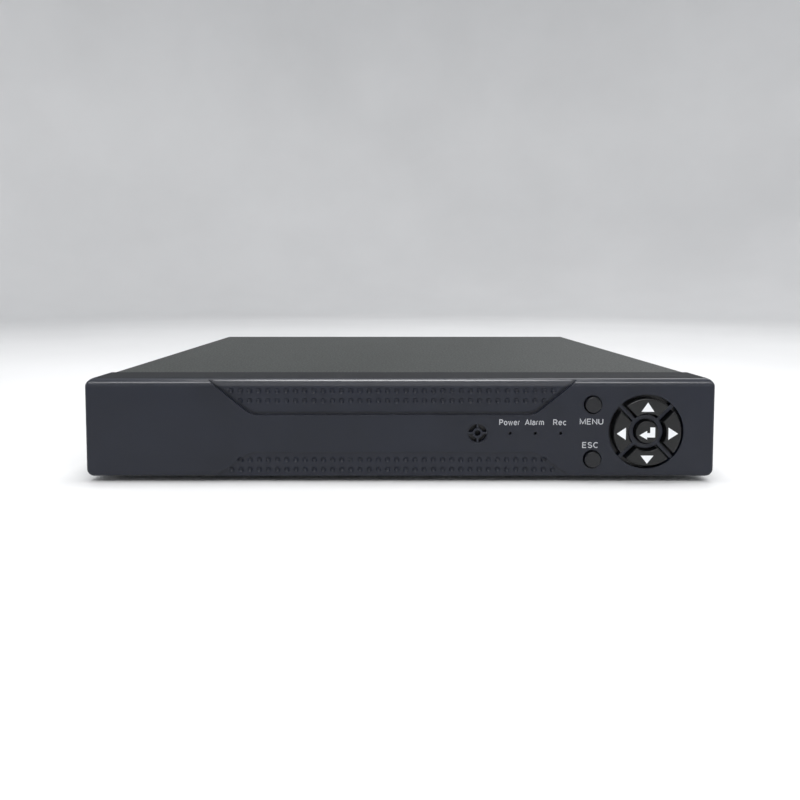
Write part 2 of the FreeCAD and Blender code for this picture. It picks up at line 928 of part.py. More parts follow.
def top_cover():
    half = d.body_width / 2
    inside = half - d.sheet
    outer = folded_box((-half, cover_front, 0), (half, d.body_depth, cover_top), d.bend_radius)
    inner = folded_box((-inside, cover_front - d.over, -d.over),
                       (inside, d.body_depth - d.sheet, cover_top - d.sheet), d.bend_radius - d.sheet)
    tools = [inner, rear_window()]
    for number in count(d.vent_slots):
        y = d.vent_first + number * d.vent_pitch
        tools.append(box((-half - d.over, y, d.vent_low),
                         (d.body_width + d.over * 2, d.vent_width, d.vent_height)))
    for side, y in side_screws:
        base_x = side * half - d.over
        tools.append(cylinder((base_x, y, d.side_screw_z), d.screw_clearance, d.over * 2, "x"))
    cover = cut(outer, tools + mitre_slits())
    flange_edge = value_of(half - d.side_flange)
    rear_inside = value_of(d.body_depth - d.sheet)
    rounds = [(d.flange_end_radius, lambda middle, direction: near(abs(middle.x), flange_edge)
               and near(middle.z, 0) and middle.y > rear_inside and abs(direction.y) > 0.99)]
    node(fillet(cover, rounds), "top_cover")


def case_screws():
    """The screws in the cover's sides, under the disk and beside the audio sockets."""
    screws = []
    for side, y in side_screws:
        seat = (side * d.body_width / 2, y, d.side_screw_z)
        screws.append(pan_screw(seat, (-side, 0, 0), d.short_screw))
    for x, y in disk_posts:
        screws.append(pan_screw((x, y, 0), (0, 0, 1), d.short_screw))
    seat = (d.audio_screw_x, rear_plate_out, d.audio_screw_z)
    screws.append(pan_screw(seat, (0, -1, 0), d.short_screw))
    node(group(screws), "case_screws")


def panel_screw_set():
    seat_y = d.panel_depth + d.sheet
    screws = [pan_screw((x, seat_y, z), (0, -1, 0), d.panel_screw_length) for x, z in panel_posts]
    node(group(screws), "panel_screws")


camera_columns = [d.camera_first_x + number * d.camera_pitch_x for number in count(d.camera_stacks)]
camera_rows = [d.camera_low_z, d.camera_low_z + d.camera_pitch_z]
board_top = d.board_low + d.board_thickness
board_rear = rear_plate_in - d.board_rear_gap
board_front = board_rear - d.board_depth
standoffs = [(d.board_left + d.standoff_inset, board_front + d.standoff_inset),
             (d.board_right - d.standoff_inset, board_front + d.standoff_inset),
             (d.board_left + d.standoff_inset, board_rear - d.standoff_inset),
             (d.board_right - d.standoff_inset, board_rear - d.standoff_inset),
             (d.standoff_middle_x, board_front + d.standoff_inset)]
disk_posts = [(d.disk_left + d.disk_hole_x + column * d.disk_hole_pitch, d.disk_front + row)
              for column in (0, 1) for row in (d.disk_hole_y, d.disk_width - d.disk_hole_y)]


def monitor_outline(grow):
    half = d.monitor_width / 2 + grow
    tall = d.monitor_height / 2 + grow
    x = d.monitor_x
    z = d.monitor_z
    taper = d.monitor_taper
    return [(x - half + taper, z - tall), (x + half - taper, z - tall),
            (x + half, z + tall), (x - half, z + tall)]


def monitor_block(grow, front, length):
    block = prism(monitor_outline(grow), length, (0, front, 0))
    return fillet(block, [(d.monitor_corner + grow, along("y"))])


def hd_outline(grow):
    half = d.hd_half_width + grow
    tall = d.hd_half_height + grow
    step = d.hd_corner
    x = d.hd_x
    z = d.hd_z
    return [(x - half + step, z - tall), (x + half - step, z - tall), (x + half, z - tall + step),
            (x + half, z + tall), (x - half, z + tall), (x - half, z - tall + step)]


def rear_openings():
    depth = d.sheet + d.over * 2
    front = rear_plate_in - d.over
    gap = d.socket_gap
    tools = [cylinder((x, front, z), d.camera_hole, depth) for x in camera_columns for z in camera_rows]
    for z in (d.audio_high_z, d.audio_low_z):
        tools.append(cylinder((d.audio_x, front, z), d.audio_collar + gap, depth))
    tools.append(cylinder((d.audio_screw_x, front, d.audio_screw_z), d.screw_clearance, depth))
    tools.append(prism(hd_outline(gap), depth, (0, front, 0)))
    tools.append(box((d.lan_x - d.lan_width / 2 - gap, front, d.lan_low - gap),
                     (d.lan_width + gap * 2, depth, d.lan_height + gap * 2)))
    tools.append(box((d.power_x - d.power_width / 2 - gap, front, d.power_low - gap),
                     (d.power_width + gap * 2, depth, d.power_height + gap * 2)))
    tools.append(monitor_block(gap, front, depth))
    for side in (-1, 1):
        x = d.monitor_x + side * d.jackscrew_pitch / 2
        tools.append(cylinder((x, front, d.monitor_z), d.screw_clearance, depth))
    return tools


def tray_floor():
    """The floor with its standoffs and the posts under the disk."""
    floor = box((-tray_half, d.panel_depth, 0), (tray_half * 2, rear_plate_out - d.panel_depth, d.sheet))
    pieces = [floor]
    for x, y in standoffs:
        pieces.append(cylinder((x, y, d.sheet), d.standoff_radius, d.board_low - d.sheet, "z"))
    for x, y in disk_posts:
        pieces.append(cylinder((x, y, d.sheet), d.standoff_radius, d.disk_low - d.sheet, "z"))
    return fuse(pieces)


def chassis_tray():
    wall_half = tray_half - d.sheet - d.seam
    wall_width = wall_half * 2
    wall_top = cover_top - d.sheet - d.sheet_gap
    front_wall = box((-wall_half, d.panel_depth, 0), (wall_width, d.sheet, wall_top))
    rear_wall = box((-wall_half, rear_plate_in, 0), (wall_width, d.sheet, wall_top))
    lip_front = d.panel_depth + d.sheet + d.seam
    lip_length = rear_plate_in - d.seam - lip_front
    lips = [box((-tray_half, lip_front, 0), (d.sheet, lip_length, d.lip_height)),
            box((tray_half - d.sheet, lip_front, 0), (d.sheet, lip_length, d.lip_height))]
    body = fuse([tray_floor(), front_wall, rear_wall] + lips)
    tools = rear_openings()
    depth = d.sheet + d.over * 2
    tools.append(box((d.ribbon_x - d.ribbon_window / 2, d.panel_depth - d.over, d.ribbon_window_low),
                     (d.ribbon_window, depth, d.ribbon_window_height)))
    for x, z in panel_posts:
        tools.append(cylinder((x, d.panel_depth - d.over, z), d.screw_clearance, depth))
    for side, y in side_screws:
        base_x = side * (tray_half - d.sheet / 2) - d.over
        tools.append(cylinder((base_x, y, d.side_screw_z), d.screw_shank, d.over * 2, "x"))
    for x, y in standoffs:
        tools.append(cylinder((x, y, -d.over), d.screw_bore, d.board_low + d.over * 2, "z"))
    for x, y in disk_posts:
        tools.append(cylinder((x, y, -d.over), d.screw_clearance, d.disk_low + d.over * 2, "z"))
    node(cut(body, tools), "chassis_tray")


def rubber_feet():
    feet = []
    for side in (-1, 1):
        for y in (d.foot_front, d.foot_rear):
            profile = [(0, -d.foot_height), (d.foot_radius - d.foot_taper, -d.foot_height),
                       (d.foot_radius, 0), (0, 0)]
            feet.append(turned(profile, (side * d.foot_x, y, 0), "z"))
    node(group(feet), "rubber_feet")


# ---------------------------------------------------------------- rear sockets

block_rear = rear_plate_in - d.sheet_gap
socket_end = d.body_depth + d.socket_proud


def camera_barrel(x, z):
    neck_end = rear_plate_out + d.camera_neck_length
    floor = neck_end + d.sheet
    profile = [(d.camera_insulator, block_rear), (d.camera_neck, block_rear), (d.camera_neck, neck_end),
               (d.camera_barrel, neck_end), (d.camera_barrel, socket_end), (d.camera_bore, socket_end),
               (d.camera_bore, floor), (d.camera_insulator, floor)]
    barrel = turned(profile, (x, 0, z))
    reach = d.camera_barrel + d.lug_proud
    lug_y = socket_end - d.lug_back
    lugs = cut(cylinder((x - reach, lug_y, z), d.lug_radius, reach * 2, "x"),
               [cylinder((x, lug_y - d.lug_radius * 2, z), d.camera_bore, d.lug_radius * 4)])
    return fuse([barrel, lugs])


def camera_sockets():
    insulators = []
    contacts = []
    blocks = []
    inside = d.camera_insulator - d.hair_gap
    tip = socket_end - d.insulator_back
    for number, x in enumerate(camera_columns, start=1):
        node(group([camera_barrel(x, z) for z in camera_rows]), f"camera_sockets_{number}")
        for z in camera_rows:
            insulators.append(turned([(d.contact_radius, block_rear), (inside, block_rear),
                                      (inside, tip), (d.contact_radius, tip)], (x, 0, z)))
            pin = d.contact_radius - d.hair_gap
            contacts.append(turned([(0, block_rear), (pin, block_rear), (pin, tip),
                                    (d.contact_bore, tip), (d.contact_bore, tip - d.contact_depth),
                                    (0, tip - d.contact_depth)], (x, 0, z)))
        width = d.camera_block_width
        blocks.append(box((x - width / 2, block_rear - d.camera_block_depth, board_top),
                          (width, d.camera_block_depth, d.camera_block_top - board_top)))
    node(group(insulators), "camera_insulators")
    node(group(contacts), "camera_contacts")
    node(group(blocks), "camera_socket_blocks")


def audio_sockets():
    x = d.audio_x
    front = block_rear - d.audio_block_depth
    tall = d.audio_high_z + d.audio_collar + d.sheet - board_top
    block = box((x - d.audio_half_width, front, board_top),
                (d.audio_half_width * 2, d.audio_block_depth, tall))
    ear = box((d.audio_screw_x - d.screw_head, front, d.audio_screw_z - d.screw_head),
              (x - d.audio_screw_x + d.screw_head, d.audio_block_depth, d.screw_head * 2))
    pieces = [block, ear]
    collar_end = rear_plate_out + d.audio_collar_length
    for z in (d.audio_high_z, d.audio_low_z):
        pieces.append(tube((x, block_rear, z), d.audio_collar, d.audio_barrel + d.hair_gap,
                           collar_end - block_rear))
    bore = cylinder((d.audio_screw_x, front, d.audio_screw_z), d.screw_bore, d.audio_block_depth)
    node(cut(fuse(pieces), [bore]), "audio_block")
    end = d.body_depth + d.audio_proud
    for name, z in (("in", d.audio_high_z), ("out", d.audio_low_z)):
        inside = d.audio_insert + d.hair_gap
        seated = d.audio_barrel - d.seat_step
        step_y = collar_end + d.socket_gap
        profile = [(inside, block_rear), (seated, block_rear), (seated, step_y), (d.audio_barrel, step_y),
                   (d.audio_barrel, end), (inside, end)]
        node(turned(profile, (x, 0, z)), f"audio_{name}_barrel")
        length = end - block_rear - d.sheet / 2
        insert = cylinder((x, block_rear, z), d.audio_insert, length)
        hole = cylinder((x, d.body_depth, z), d.audio_bore, d.audio_proud)
        node(cut(insert, [hole]), f"audio_{name}_insert")


def hd_socket():
    end = d.body_depth + d.hd_proud
    front = end - d.hd_depth
    skin = d.socket_skin
    shell = cut(prism(hd_outline(0), d.hd_depth, (0, front, 0)),
                [prism(hd_outline(-skin), d.hd_depth, (0, front, 0))])
    legs = []
    for side in (-1, 1):
        leg_x = d.hd_x + side * (d.hd_half_width - skin / 2) - skin / 2
        legs.append(box((leg_x, front, board_top), (skin, d.hd_leg, d.hd_z - board_top)))
    node(fuse([shell] + legs), "hd_video_shell")
    back = prism(hd_outline(-skin - d.hair_gap), d.hd_back, (0, front, 0))
    tongue = box((d.hd_x - d.hd_tongue_width / 2, front, d.hd_z - d.hd_tongue / 2),
                 (d.hd_tongue_width, d.hd_depth - skin * 2, d.hd_tongue))
    node(fuse([back, tongue]), "hd_video_insert")


def lan_step(low, high, width, front, depth):
    """One level of the stepped network opening."""
    return box((d.lan_x - width / 2, front, low), (width, depth, high - low))


def lan_openings(front, depth):
    """Tools for the network opening, which narrows in two steps toward the latch, and the USB openings."""
    first = d.network_low + d.network_body
    second = first + d.network_step
    third = second + d.network_step
    network = fuse([lan_step(d.network_low, first, d.network_width, front, depth),
                    lan_step(first, second, d.network_middle, front, depth),
                    lan_step(second, third, d.network_latch, front, depth)])
    tools = [network]
    for z in (d.usb_low_z, d.usb_high_z):
        tools.append(box((d.lan_x - d.usb_width / 2, front, z), (d.usb_width, depth, d.usb_height)))
    return tools


def light_spots(front, depth, grow):
    spots = []
    for side in (-1, 1):
        x = d.lan_x + side * d.socket_light_x
        spots.append(box((x - d.socket_light_width / 2 - grow, front, d.socket_light_z - grow),
                         (d.socket_light_width + grow * 2, depth, d.socket_light_height + grow * 2)))
    return spots


def network_stack():
    half = d.lan_width / 2
    end = d.body_depth + d.lan_proud
    front = end - d.lan_depth
    skin = d.lan_skin
    outer = box((d.lan_x - half, front, d.lan_low), (d.lan_width, d.lan_depth, d.lan_height))
    inner = box((d.lan_x - half + skin, front + skin, d.lan_low + skin),
                (d.lan_width - skin * 2, d.lan_depth - skin * 2, d.lan_height - skin * 2))
    openings = lan_openings(end - skin - d.over, d.over * 2 + skin)
    shield = cut(outer, [inner] + openings + light_spots(end - skin - d.over, d.over * 2 + skin, 0))
    node(shield, "network_stack_shield")
    gap = d.hair_gap
    filling = box((d.lan_x - half + skin + gap, front + skin + gap, d.lan_low + skin + gap),
                  (d.lan_width - (skin + gap) * 2, d.lan_depth - (skin + gap) * 2,
                   d.lan_height - (skin + gap) * 2))
    hollow_front = end - d.socket_hollow
    hollows = lan_openings(hollow_front, d.socket_hollow)
    pockets = light_spots(end - d.socket_light_depth, d.socket_light_depth, gap)
    insert = cut(filling, hollows + pockets)
    tongues = []
    for z in (d.usb_low_z, d.usb_high_z):
        tongue_z = z + d.usb_height - d.usb_tongue_drop
        tongues.append(box((d.lan_x - d.usb_tongue_width / 2, hollow_front, tongue_z),
                           (d.usb_tongue_width, d.socket_hollow - d.over, d.usb_tongue)))
    node(fuse([insert] + tongues), "network_stack_insert")
    node(group(light_spots(end - d.socket_light_depth, d.socket_light_depth, 0)), "network_lights")


def monitor_socket():
    skin = d.monitor_skin
    end = d.body_depth + d.monitor_proud
    plate_front = rear_plate_in - d.sheet_gap - d.sheet
    plate_low = d.monitor_z - d.monitor_plate_height / 2
    plate = box((d.monitor_x - d.monitor_plate_width / 2, plate_front, plate_low),
                (d.monitor_plate_width, d.sheet, d.monitor_plate_height))
    sleeve = monitor_block(0, plate_front, end - plate_front)
    tools = [monitor_block(-skin, plate_front, end - plate_front)]
    for side in (-1, 1):
        x = d.monitor_x + side * d.jackscrew_pitch / 2
        tools.append(cylinder((x, plate_front, d.monitor_z), d.screw_clearance, d.sheet))
    node(cut(fuse([plate, sleeve]), tools), "monitor_shell")
    back = plate_front - d.monitor_body_depth
    body_low = d.monitor_z - d.monitor_height / 2
    body = box((d.monitor_x - d.monitor_width / 2, back, board_top),
               (d.monitor_width, d.monitor_body_depth, body_low + d.monitor_height - board_top))
    face = monitor_block(-skin - d.hair_gap, plate_front, end - plate_front - d.sheet)
    holes = []
    for row in (-1, 0, 1):
        for column in (-2, -1, 0, 1, 2):
            x = d.monitor_x + column * d.monitor_pin_pitch + row * d.monitor_pin_pitch / 4
            z = d.monitor_z + row * d.monitor_row_pitch
            holes.append(cylinder((x, d.body_depth, z), d.monitor_pin_radius, d.monitor_proud))
    node(cut(fuse([body, face]), holes), "monitor_insert")
    jackscrews = []
    for side in (-1, 1):
        x = d.monitor_x + side * d.jackscrew_pitch / 2
        head = hexagon((x, rear_plate_out, d.monitor_z), d.jackscrew_radius, d.jackscrew_proud)
        shank = cylinder((x, plate_front - d.short_screw / 2, d.monitor_z), d.jackscrew_shank,
                         rear_plate_out - plate_front + d.short_screw / 2)
        bore = cylinder((x, rear_plate_out, d.monitor_z), d.jackscrew_bore, d.jackscrew_proud)
        jackscrews.append(cut(fuse([head, shank]), [bore]))
    node(group(jackscrews), "monitor_jackscrews")


def power_socket():
    end = d.body_depth + d.power_proud
    front = end - d.power_depth
    middle_z = d.power_low + d.power_height / 2
    body = box((d.power_x - d.power_width / 2, front, board_top),
               (d.power_width, d.power_depth, d.power_low + d.power_height - board_top))
    floor = front + d.over
    seated = d.power_pin - d.seat_step
    hollow = cylinder((d.power_x, floor, middle_z), d.power_bore, end - floor)
    seat = cylinder((d.power_x, front, middle_z), seated, d.power_depth)
    node(cut(body, [hollow, seat]), "power_socket_body")
    step_y = floor + d.socket_gap
    tip = end - d.over
    profile = [(0, front), (seated, front), (seated, step_y), (d.power_pin, step_y),
               (d.power_pin, tip), (0, tip)]
    node(turned(profile, (d.power_x, 0, middle_z)), "power_socket_pin")


# ---------------------------------------------------------------- main board

def main_board():
    board = box((d.board_left, board_front, d.board_low),
                (d.board_right - d.board_left, d.board_depth, d.board_thickness))
    holes = [cylinder((x, y, d.board_low), d.screw_clearance, d.board_thickness, "z") for x, y in standoffs]
    node(cut(board, holes), "main_board")
    return [pan_screw((x, y, board_top), (0, 0, -1), d.inner_screw) for x, y in standoffs]


def heatsink():
    """A comb of fins on a base, drawn from the end."""
    outline = [(0, 0), (d.heatsink_side, 0)]
    for number in reversed(count(d.fins)):
        left = number * d.fin_pitch
        right = left + d.fin_width
        outline += [(right, d.heatsink_height), (left, d.heatsink_height)]
        if number:
            outline += [(left, d.heatsink_base), (left - d.fin_pitch + d.fin_width, d.heatsink_base)]
    processor_y = board_front + d.processor_y
    comb = prism(outline, d.heatsink_side, (d.processor_x, processor_y, board_top + d.chip_height))
    chip = box((d.processor_x + d.chip_side / 2, processor_y + d.chip_side / 2, board_top),
               (d.heatsink_side - d.chip_side, d.heatsink_side - d.chip_side, d.chip_height))
    node(comb, "heatsink")
    chips = [chip]
    for number in count(d.video_chips):
        chips.append(box((d.chip_first_x + number * d.chip_pitch, board_front + d.chip_y, board_top),
                         (d.chip_side, d.chip_side, d.chip_height)))
    for number in count(d.memory_chips):
        chips.append(box((d.memory_x, processor_y + number * d.chip_pitch, board_top),
                         (d.chip_side / 2, d.chip_side, d.chip_height)))
    node(group(chips), "chips")


def capacitors():
    cans = []
    for number in count(d.capacitors):
        x = d.capacitor_x + number * d.capacitor_pitch
        cans.append(cylinder((x, board_front + d.capacitor_y, board_top), d.capacitor_radius,
                             d.capacitor_height, "z"))
    node(group(cans), "capacitors")


def clock_cell():
    base = (d.cell_x, board_front + d.cell_y, board_top)
    holder = turned([(0, 0), (d.cell_radius + d.cell_wall, 0),
                     (d.cell_radius + d.cell_wall, d.cell_wall + d.cell_height),
                     (d.cell_radius + d.hair_gap, d.cell_wall + d.cell_height),
                     (d.cell_radius + d.hair_gap, d.cell_wall), (0, d.cell_wall)], base, "z")
    node(holder, "cell_holder")
    node(cylinder((base[0], base[1], base[2] + d.cell_wall), d.cell_radius, d.cell_height, "z"), "clock_cell")


# ---------------------------------------------------------------- hard disk

spindle = (d.disk_left + d.spindle_x, d.disk_front + d.spindle_y)
pivot = (d.disk_left + d.pivot_x, d.disk_front + d.pivot_y)
disk_floor = d.disk_low + d.disk_floor
disk_top = d.disk_low + d.disk_height
lid_low = disk_top - d.disk_lid
platter_low = disk_floor + d.platter_first


def disk_base():
    wall = d.disk_wall
    block = box((d.disk_left, d.disk_front, d.disk_low),
                (d.disk_length, d.disk_width, d.disk_height - d.disk_lid))
    deep = lid_low - disk_floor + d.over
    chamber = cylinder((spindle[0], spindle[1], disk_floor), d.platter_radius + d.platter_room, deep, "z")
    corner = box((d.disk_left + wall * 2, d.disk_front + wall * 2, disk_floor),
                 (d.corner_length, d.disk_width - wall * 4, deep))
    hollowed = cut(block, [chamber, corner])
    posts = [cylinder((spindle[0], spindle[1], disk_floor), d.spindle_radius,
                      lid_low - disk_floor - d.seam, "z"),
             cylinder((pivot[0], pivot[1], disk_floor), d.pivot_radius, lid_low - disk_floor - d.seam, "z")]
    holes = [cylinder((x, y, d.disk_low), d.screw_bore, d.short_screw, "z") for x, y in disk_posts]
    for x, y in lid_screw_places():
        holes.append(cylinder((x, y, lid_low - d.disk_wall), d.screw_bore, d.disk_wall + d.over, "z"))
    slot = box((d.disk_left - d.over, d.disk_front + d.disk_slot_y, d.disk_low + d.sheet),
               (d.plug_depth / 2 + d.over, d.disk_slot_width, d.plug_height - d.sheet))
    node(cut(fuse([hollowed] + posts), holes + [slot]), "disk_base")


def lid_screw_places():
    inset = d.disk_wall
    right = d.disk_left + d.disk_length - inset
    rear = d.disk_front + d.disk_width - inset
    return [(x, y) for x in (d.disk_left + inset, right) for y in (d.disk_front + inset, rear)]


def disk_lid():
    lid = box((d.disk_left, d.disk_front, lid_low), (d.disk_length, d.disk_width, d.disk_lid))
    rounded = fillet(lid, [(d.disk_wall - d.seam, along("z"))])
    holes = [cylinder((x, y, lid_low), d.screw_clearance - d.seam, d.disk_lid, "z")
             for x, y in lid_screw_places()]
    node(cut(rounded, holes), "disk_lid")
    return [pan_screw((x, y, disk_top), (0, 0, -1), d.inner_screw) for x, y in lid_screw_places()]


def disk_platters():
    bore = d.spindle_radius + d.turning_clearance
    low = disk_floor + d.sheet
    first_top = platter_low + d.platter_thickness
    second = platter_low + d.platter_pitch
    second_top = second + d.platter_thickness
    end = second_top + d.platter_first / 2
    profile = [(bore, low), (d.hub_radius, low), (d.hub_radius, platter_low), (d.platter_radius, platter_low),
               (d.platter_radius, first_top), (d.hub_radius, first_top), (d.hub_radius, second),
               (d.platter_radius, second), (d.platter_radius, second_top), (d.hub_radius, second_top),
               (d.hub_radius, end), (bore, end)]
    node(turned(profile, (spindle[0], spindle[1], 0), "z"), "disk_platters")


def disk_actuator():
    """Three arms on a turning sleeve with a coil behind it, built along +X and turned to where it parks."""
    first = platter_low + (d.platter_thickness - d.platter_pitch - d.arm_thickness) / 2
    low = disk_floor + d.sheet
    high = lid_low - d.sheet * 2
    sleeve = cylinder((0, 0, low), d.sleeve_radius, high - low, "z")
    pieces = [sleeve]
    root_half = d.arm_root / 2
    tip_half = d.arm_tip / 2
    for number in count(d.arms):
        outline = [(0, -root_half), (d.arm_length, -tip_half), (d.arm_length, tip_half), (0, root_half)]
        pieces.append(prism(outline, d.arm_thickness, (0, 0, first + number * d.platter_pitch), "XY_Plane"))
    coil = [(0, -root_half), (0, root_half), (-d.coil_length, d.coil_half), (-d.coil_length, -d.coil_half)]
    pieces.append(prism(coil, d.coil_thickness, (0, 0, first + d.platter_pitch), "XY_Plane"))
    bore = cylinder((0, 0, low), d.pivot_radius + d.turning_clearance, high - low, "z")
    node(cut(fuse(pieces), [bore]), "disk_actuator", (pivot[0], pivot[1], 0), d.arm_parked_angle)


# ---------------------------------------------------------------- cables

def flat_bend(path, width):
    """Corners of a flat strip that leaves along -X and turns to +Y around one bend."""
    start_x, start_y, bend_x, end_y = path
    half = width / 2
    return [(start_x, start_y - half), (bend_x - half, start_y - half), (bend_x - half, end_y),
            (bend_x + half, end_y), (bend_x + half, start_y + half), (start_x, start_y + half)]


def data_cable():
    y = d.disk_front + d.data_plug_y
    z = board_top + d.sheet_gap
    end = board_front + d.cable_overlap
    outline = flat_bend((d.disk_left - d.plug_depth / 2, y, d.data_bend_x, end), d.data_cable_width)
    strip = prism(outline, d.data_cable_thick, (0, 0, z), "XY_Plane")
    outer = value_of(d.data_bend_x - d.data_cable_width / 2)
    inner = value_of(d.data_bend_x + d.data_cable_width / 2)
    rounds = [(d.bend_outer, lambda middle, direction: near(middle.x, outer) and middle.y < value_of(y)
               and abs(direction.z) > 0.99),
              (d.bend_outer - d.data_cable_width, lambda middle, direction: near(middle.x, inner)
               and middle.y < value_of(y + d.data_cable_width) and abs(direction.z) > 0.99)]
    curved = fillet(strip, rounds)
    width = d.data_plug_width
    disk_plug = box((d.disk_left - d.plug_depth, y - width / 2, d.disk_low + d.sheet),
                    (d.plug_depth, width, d.plug_height - d.sheet))
    board_plug = box((d.data_bend_x - width / 2, end - d.plug_depth / 2, board_top),
                     (width, d.plug_depth, d.plug_height))
    node(fuse([curved, disk_plug, board_plug]), "disk_data_cable")


def power_cable():
    """Four wires side by side, each with one elbow, between two plugs."""
    y = d.disk_front + d.power_plug_y
    z = board_top + d.sheet_gap + d.wire_radius
    end = board_front + d.cable_overlap
    start_x = d.disk_left - d.plug_depth / 2
    pieces = []
    for number in (-3, -1, 1, 3):
        step = number * d.wire_pitch / 2
        row_y = y + step
        bend_x = d.power_bend_x + step
        elbow = d.bend_outer
        pieces.append(cylinder((bend_x + elbow, row_y, z), d.wire_radius, start_x - bend_x - elbow, "x"))
        pieces.append(cylinder((bend_x, row_y + elbow, z), d.wire_radius, end - row_y - elbow))
        ring = doc.addObject("Part::Torus", "elbow")
        ring.Angle3 = 90
        ring.Placement = FreeCAD.Placement(FreeCAD.Vector(), FreeCAD.Rotation(UP, 180))
        bind(ring, Radius1=elbow, Radius2=d.wire_radius)
        place(ring, bend_x + elbow, row_y + elbow, z)
        pieces.append(ring)
    width = d.power_plug_width
    disk_plug = box((d.disk_left - d.plug_depth, y - width / 2, d.disk_low + d.sheet),
                    (d.plug_depth, width, d.plug_height - d.sheet))
    board_plug = box((d.power_bend_x - width / 2, end - d.plug_depth / 2, board_top),
                     (width, d.plug_depth, d.plug_height))
    node(fuse(pieces + [disk_plug, board_plug]), "disk_power_cable")


def key_ribbon():
    """A flat ribbon from the key board over the disk and down to the main board."""
    thick = d.ribbon_thick
    start = d.key_board_front + d.board_thickness + d.ribbon_socket
    low = disk_top + d.screw_head_height + d.seam
    crest = d.disk_front + d.disk_width + d.ribbon_socket
    foot_y = board_front + d.ribbon_socket * 2
    foot_z = board_top + d.plug_height
    upper = [(start, low + thick), (crest, low + thick), (foot_y, foot_z + thick)]
    lower = [(foot_y, foot_z), (crest - thick / 2, low), (start, low)]
    strip = prism(upper + lower, d.ribbon_width, (d.ribbon_x - d.ribbon_width / 2, 0, 0), "YZ_Plane")
    board_face = d.key_board_front + d.board_thickness
    key_socket = box((d.ribbon_x - d.ribbon_window / 2 + d.over, board_face, low - d.over),
                     (d.ribbon_window - d.over * 2, d.ribbon_socket + d.over, d.over * 2 + thick))
    board_socket = box((d.ribbon_x - d.ribbon_window / 2 + d.over, foot_y - d.over * 2, board_top),
                       (d.ribbon_window - d.over * 2, d.ribbon_socket + d.over, d.plug_height + thick))
    node(fuse([strip, key_socket, board_socket]), "key_ribbon_cable")


front_panel()
keys()
switch_bodies()
inner_screws = key_board()
status_lights()
sounder()
top_cover()
case_screws()
panel_screw_set()
chassis_tray()
rubber_feet()
camera_sockets()
audio_sockets()
hd_socket()
network_stack()
monitor_socket()
power_socket()
inner_screws += main_board()
heatsink()
capacitors()
clock_cell()
disk_base()
inner_screws += disk_lid()
node(group(inner_screws), "inner_screws")
disk_platters()
disk_actuator()
data_cable()
power_cable()
key_ribbon()
doc.recompute()

for item in doc.Objects:
    faults = [state for state in item.State if state in ("Invalid", "Error")]
    if faults:
        raise RuntimeError(f"{item.Name} {item.Label} is {faults}")

os.makedirs("parts", exist_ok=True)
for item in nodes:
    if item.Shape.isNull() or not item.Shape.isValid():
        raise RuntimeError(f"{item.Label} has no valid shape")
    item.Shape.exportStep(f"parts/{item.Label}.step")
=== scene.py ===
import bpy
import json
import math
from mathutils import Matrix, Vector


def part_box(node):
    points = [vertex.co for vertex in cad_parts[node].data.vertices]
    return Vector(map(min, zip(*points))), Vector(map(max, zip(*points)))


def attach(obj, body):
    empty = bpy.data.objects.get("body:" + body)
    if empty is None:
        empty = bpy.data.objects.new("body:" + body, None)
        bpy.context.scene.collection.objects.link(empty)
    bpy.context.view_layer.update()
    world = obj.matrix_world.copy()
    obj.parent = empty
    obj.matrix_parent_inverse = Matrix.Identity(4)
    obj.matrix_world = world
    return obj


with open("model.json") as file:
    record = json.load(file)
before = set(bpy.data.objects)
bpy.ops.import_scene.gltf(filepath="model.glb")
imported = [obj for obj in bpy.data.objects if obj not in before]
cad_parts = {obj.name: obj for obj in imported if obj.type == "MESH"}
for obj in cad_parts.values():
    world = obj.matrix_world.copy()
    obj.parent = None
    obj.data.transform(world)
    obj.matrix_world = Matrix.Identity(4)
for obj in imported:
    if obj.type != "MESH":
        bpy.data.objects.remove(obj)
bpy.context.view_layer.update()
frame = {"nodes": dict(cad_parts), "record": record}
nodes = frame["nodes"]

MM = 0.001
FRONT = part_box("front_panel")[0].y
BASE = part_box("front_panel")[0].z
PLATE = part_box("chassis_tray")[1].y
LIFT = 0.02 * MM  # thickness of printing above its surface
KEY_EDGE = 0.4 * MM  # depth of a key's front face that takes a mark
EDGE_DROP = 3.0 * MM  # height of the panel's polished upper edge
EDGE_SOFT = 0.3 * MM  # half the height over which the polish fades in
TOP_DROP = 0.12 * MM  # depth to which the panel's flat top is rougher and painted darker as shade


def front_point(x, z):
    """A place on the front, from the panel's middle and its lower edge in millimetres."""
    return x * MM, BASE + z * MM


def rear_point(x, z):
    """A place on the rear plate: x runs to the right as seen from behind."""
    return -x * MM, BASE + z * MM


# ---------------------------------------------------------------- shader helpers

def linear(red, green, blue):
    """A display colour from 0 to 255 as the linear colour that shaders take."""
    channels = []
    for value in (red, green, blue):
        share = value / 255
        channels.append(share / 12.92 if share <= 0.04045 else ((share + 0.055) / 1.055) ** 2.4)
    return (*channels, 1)


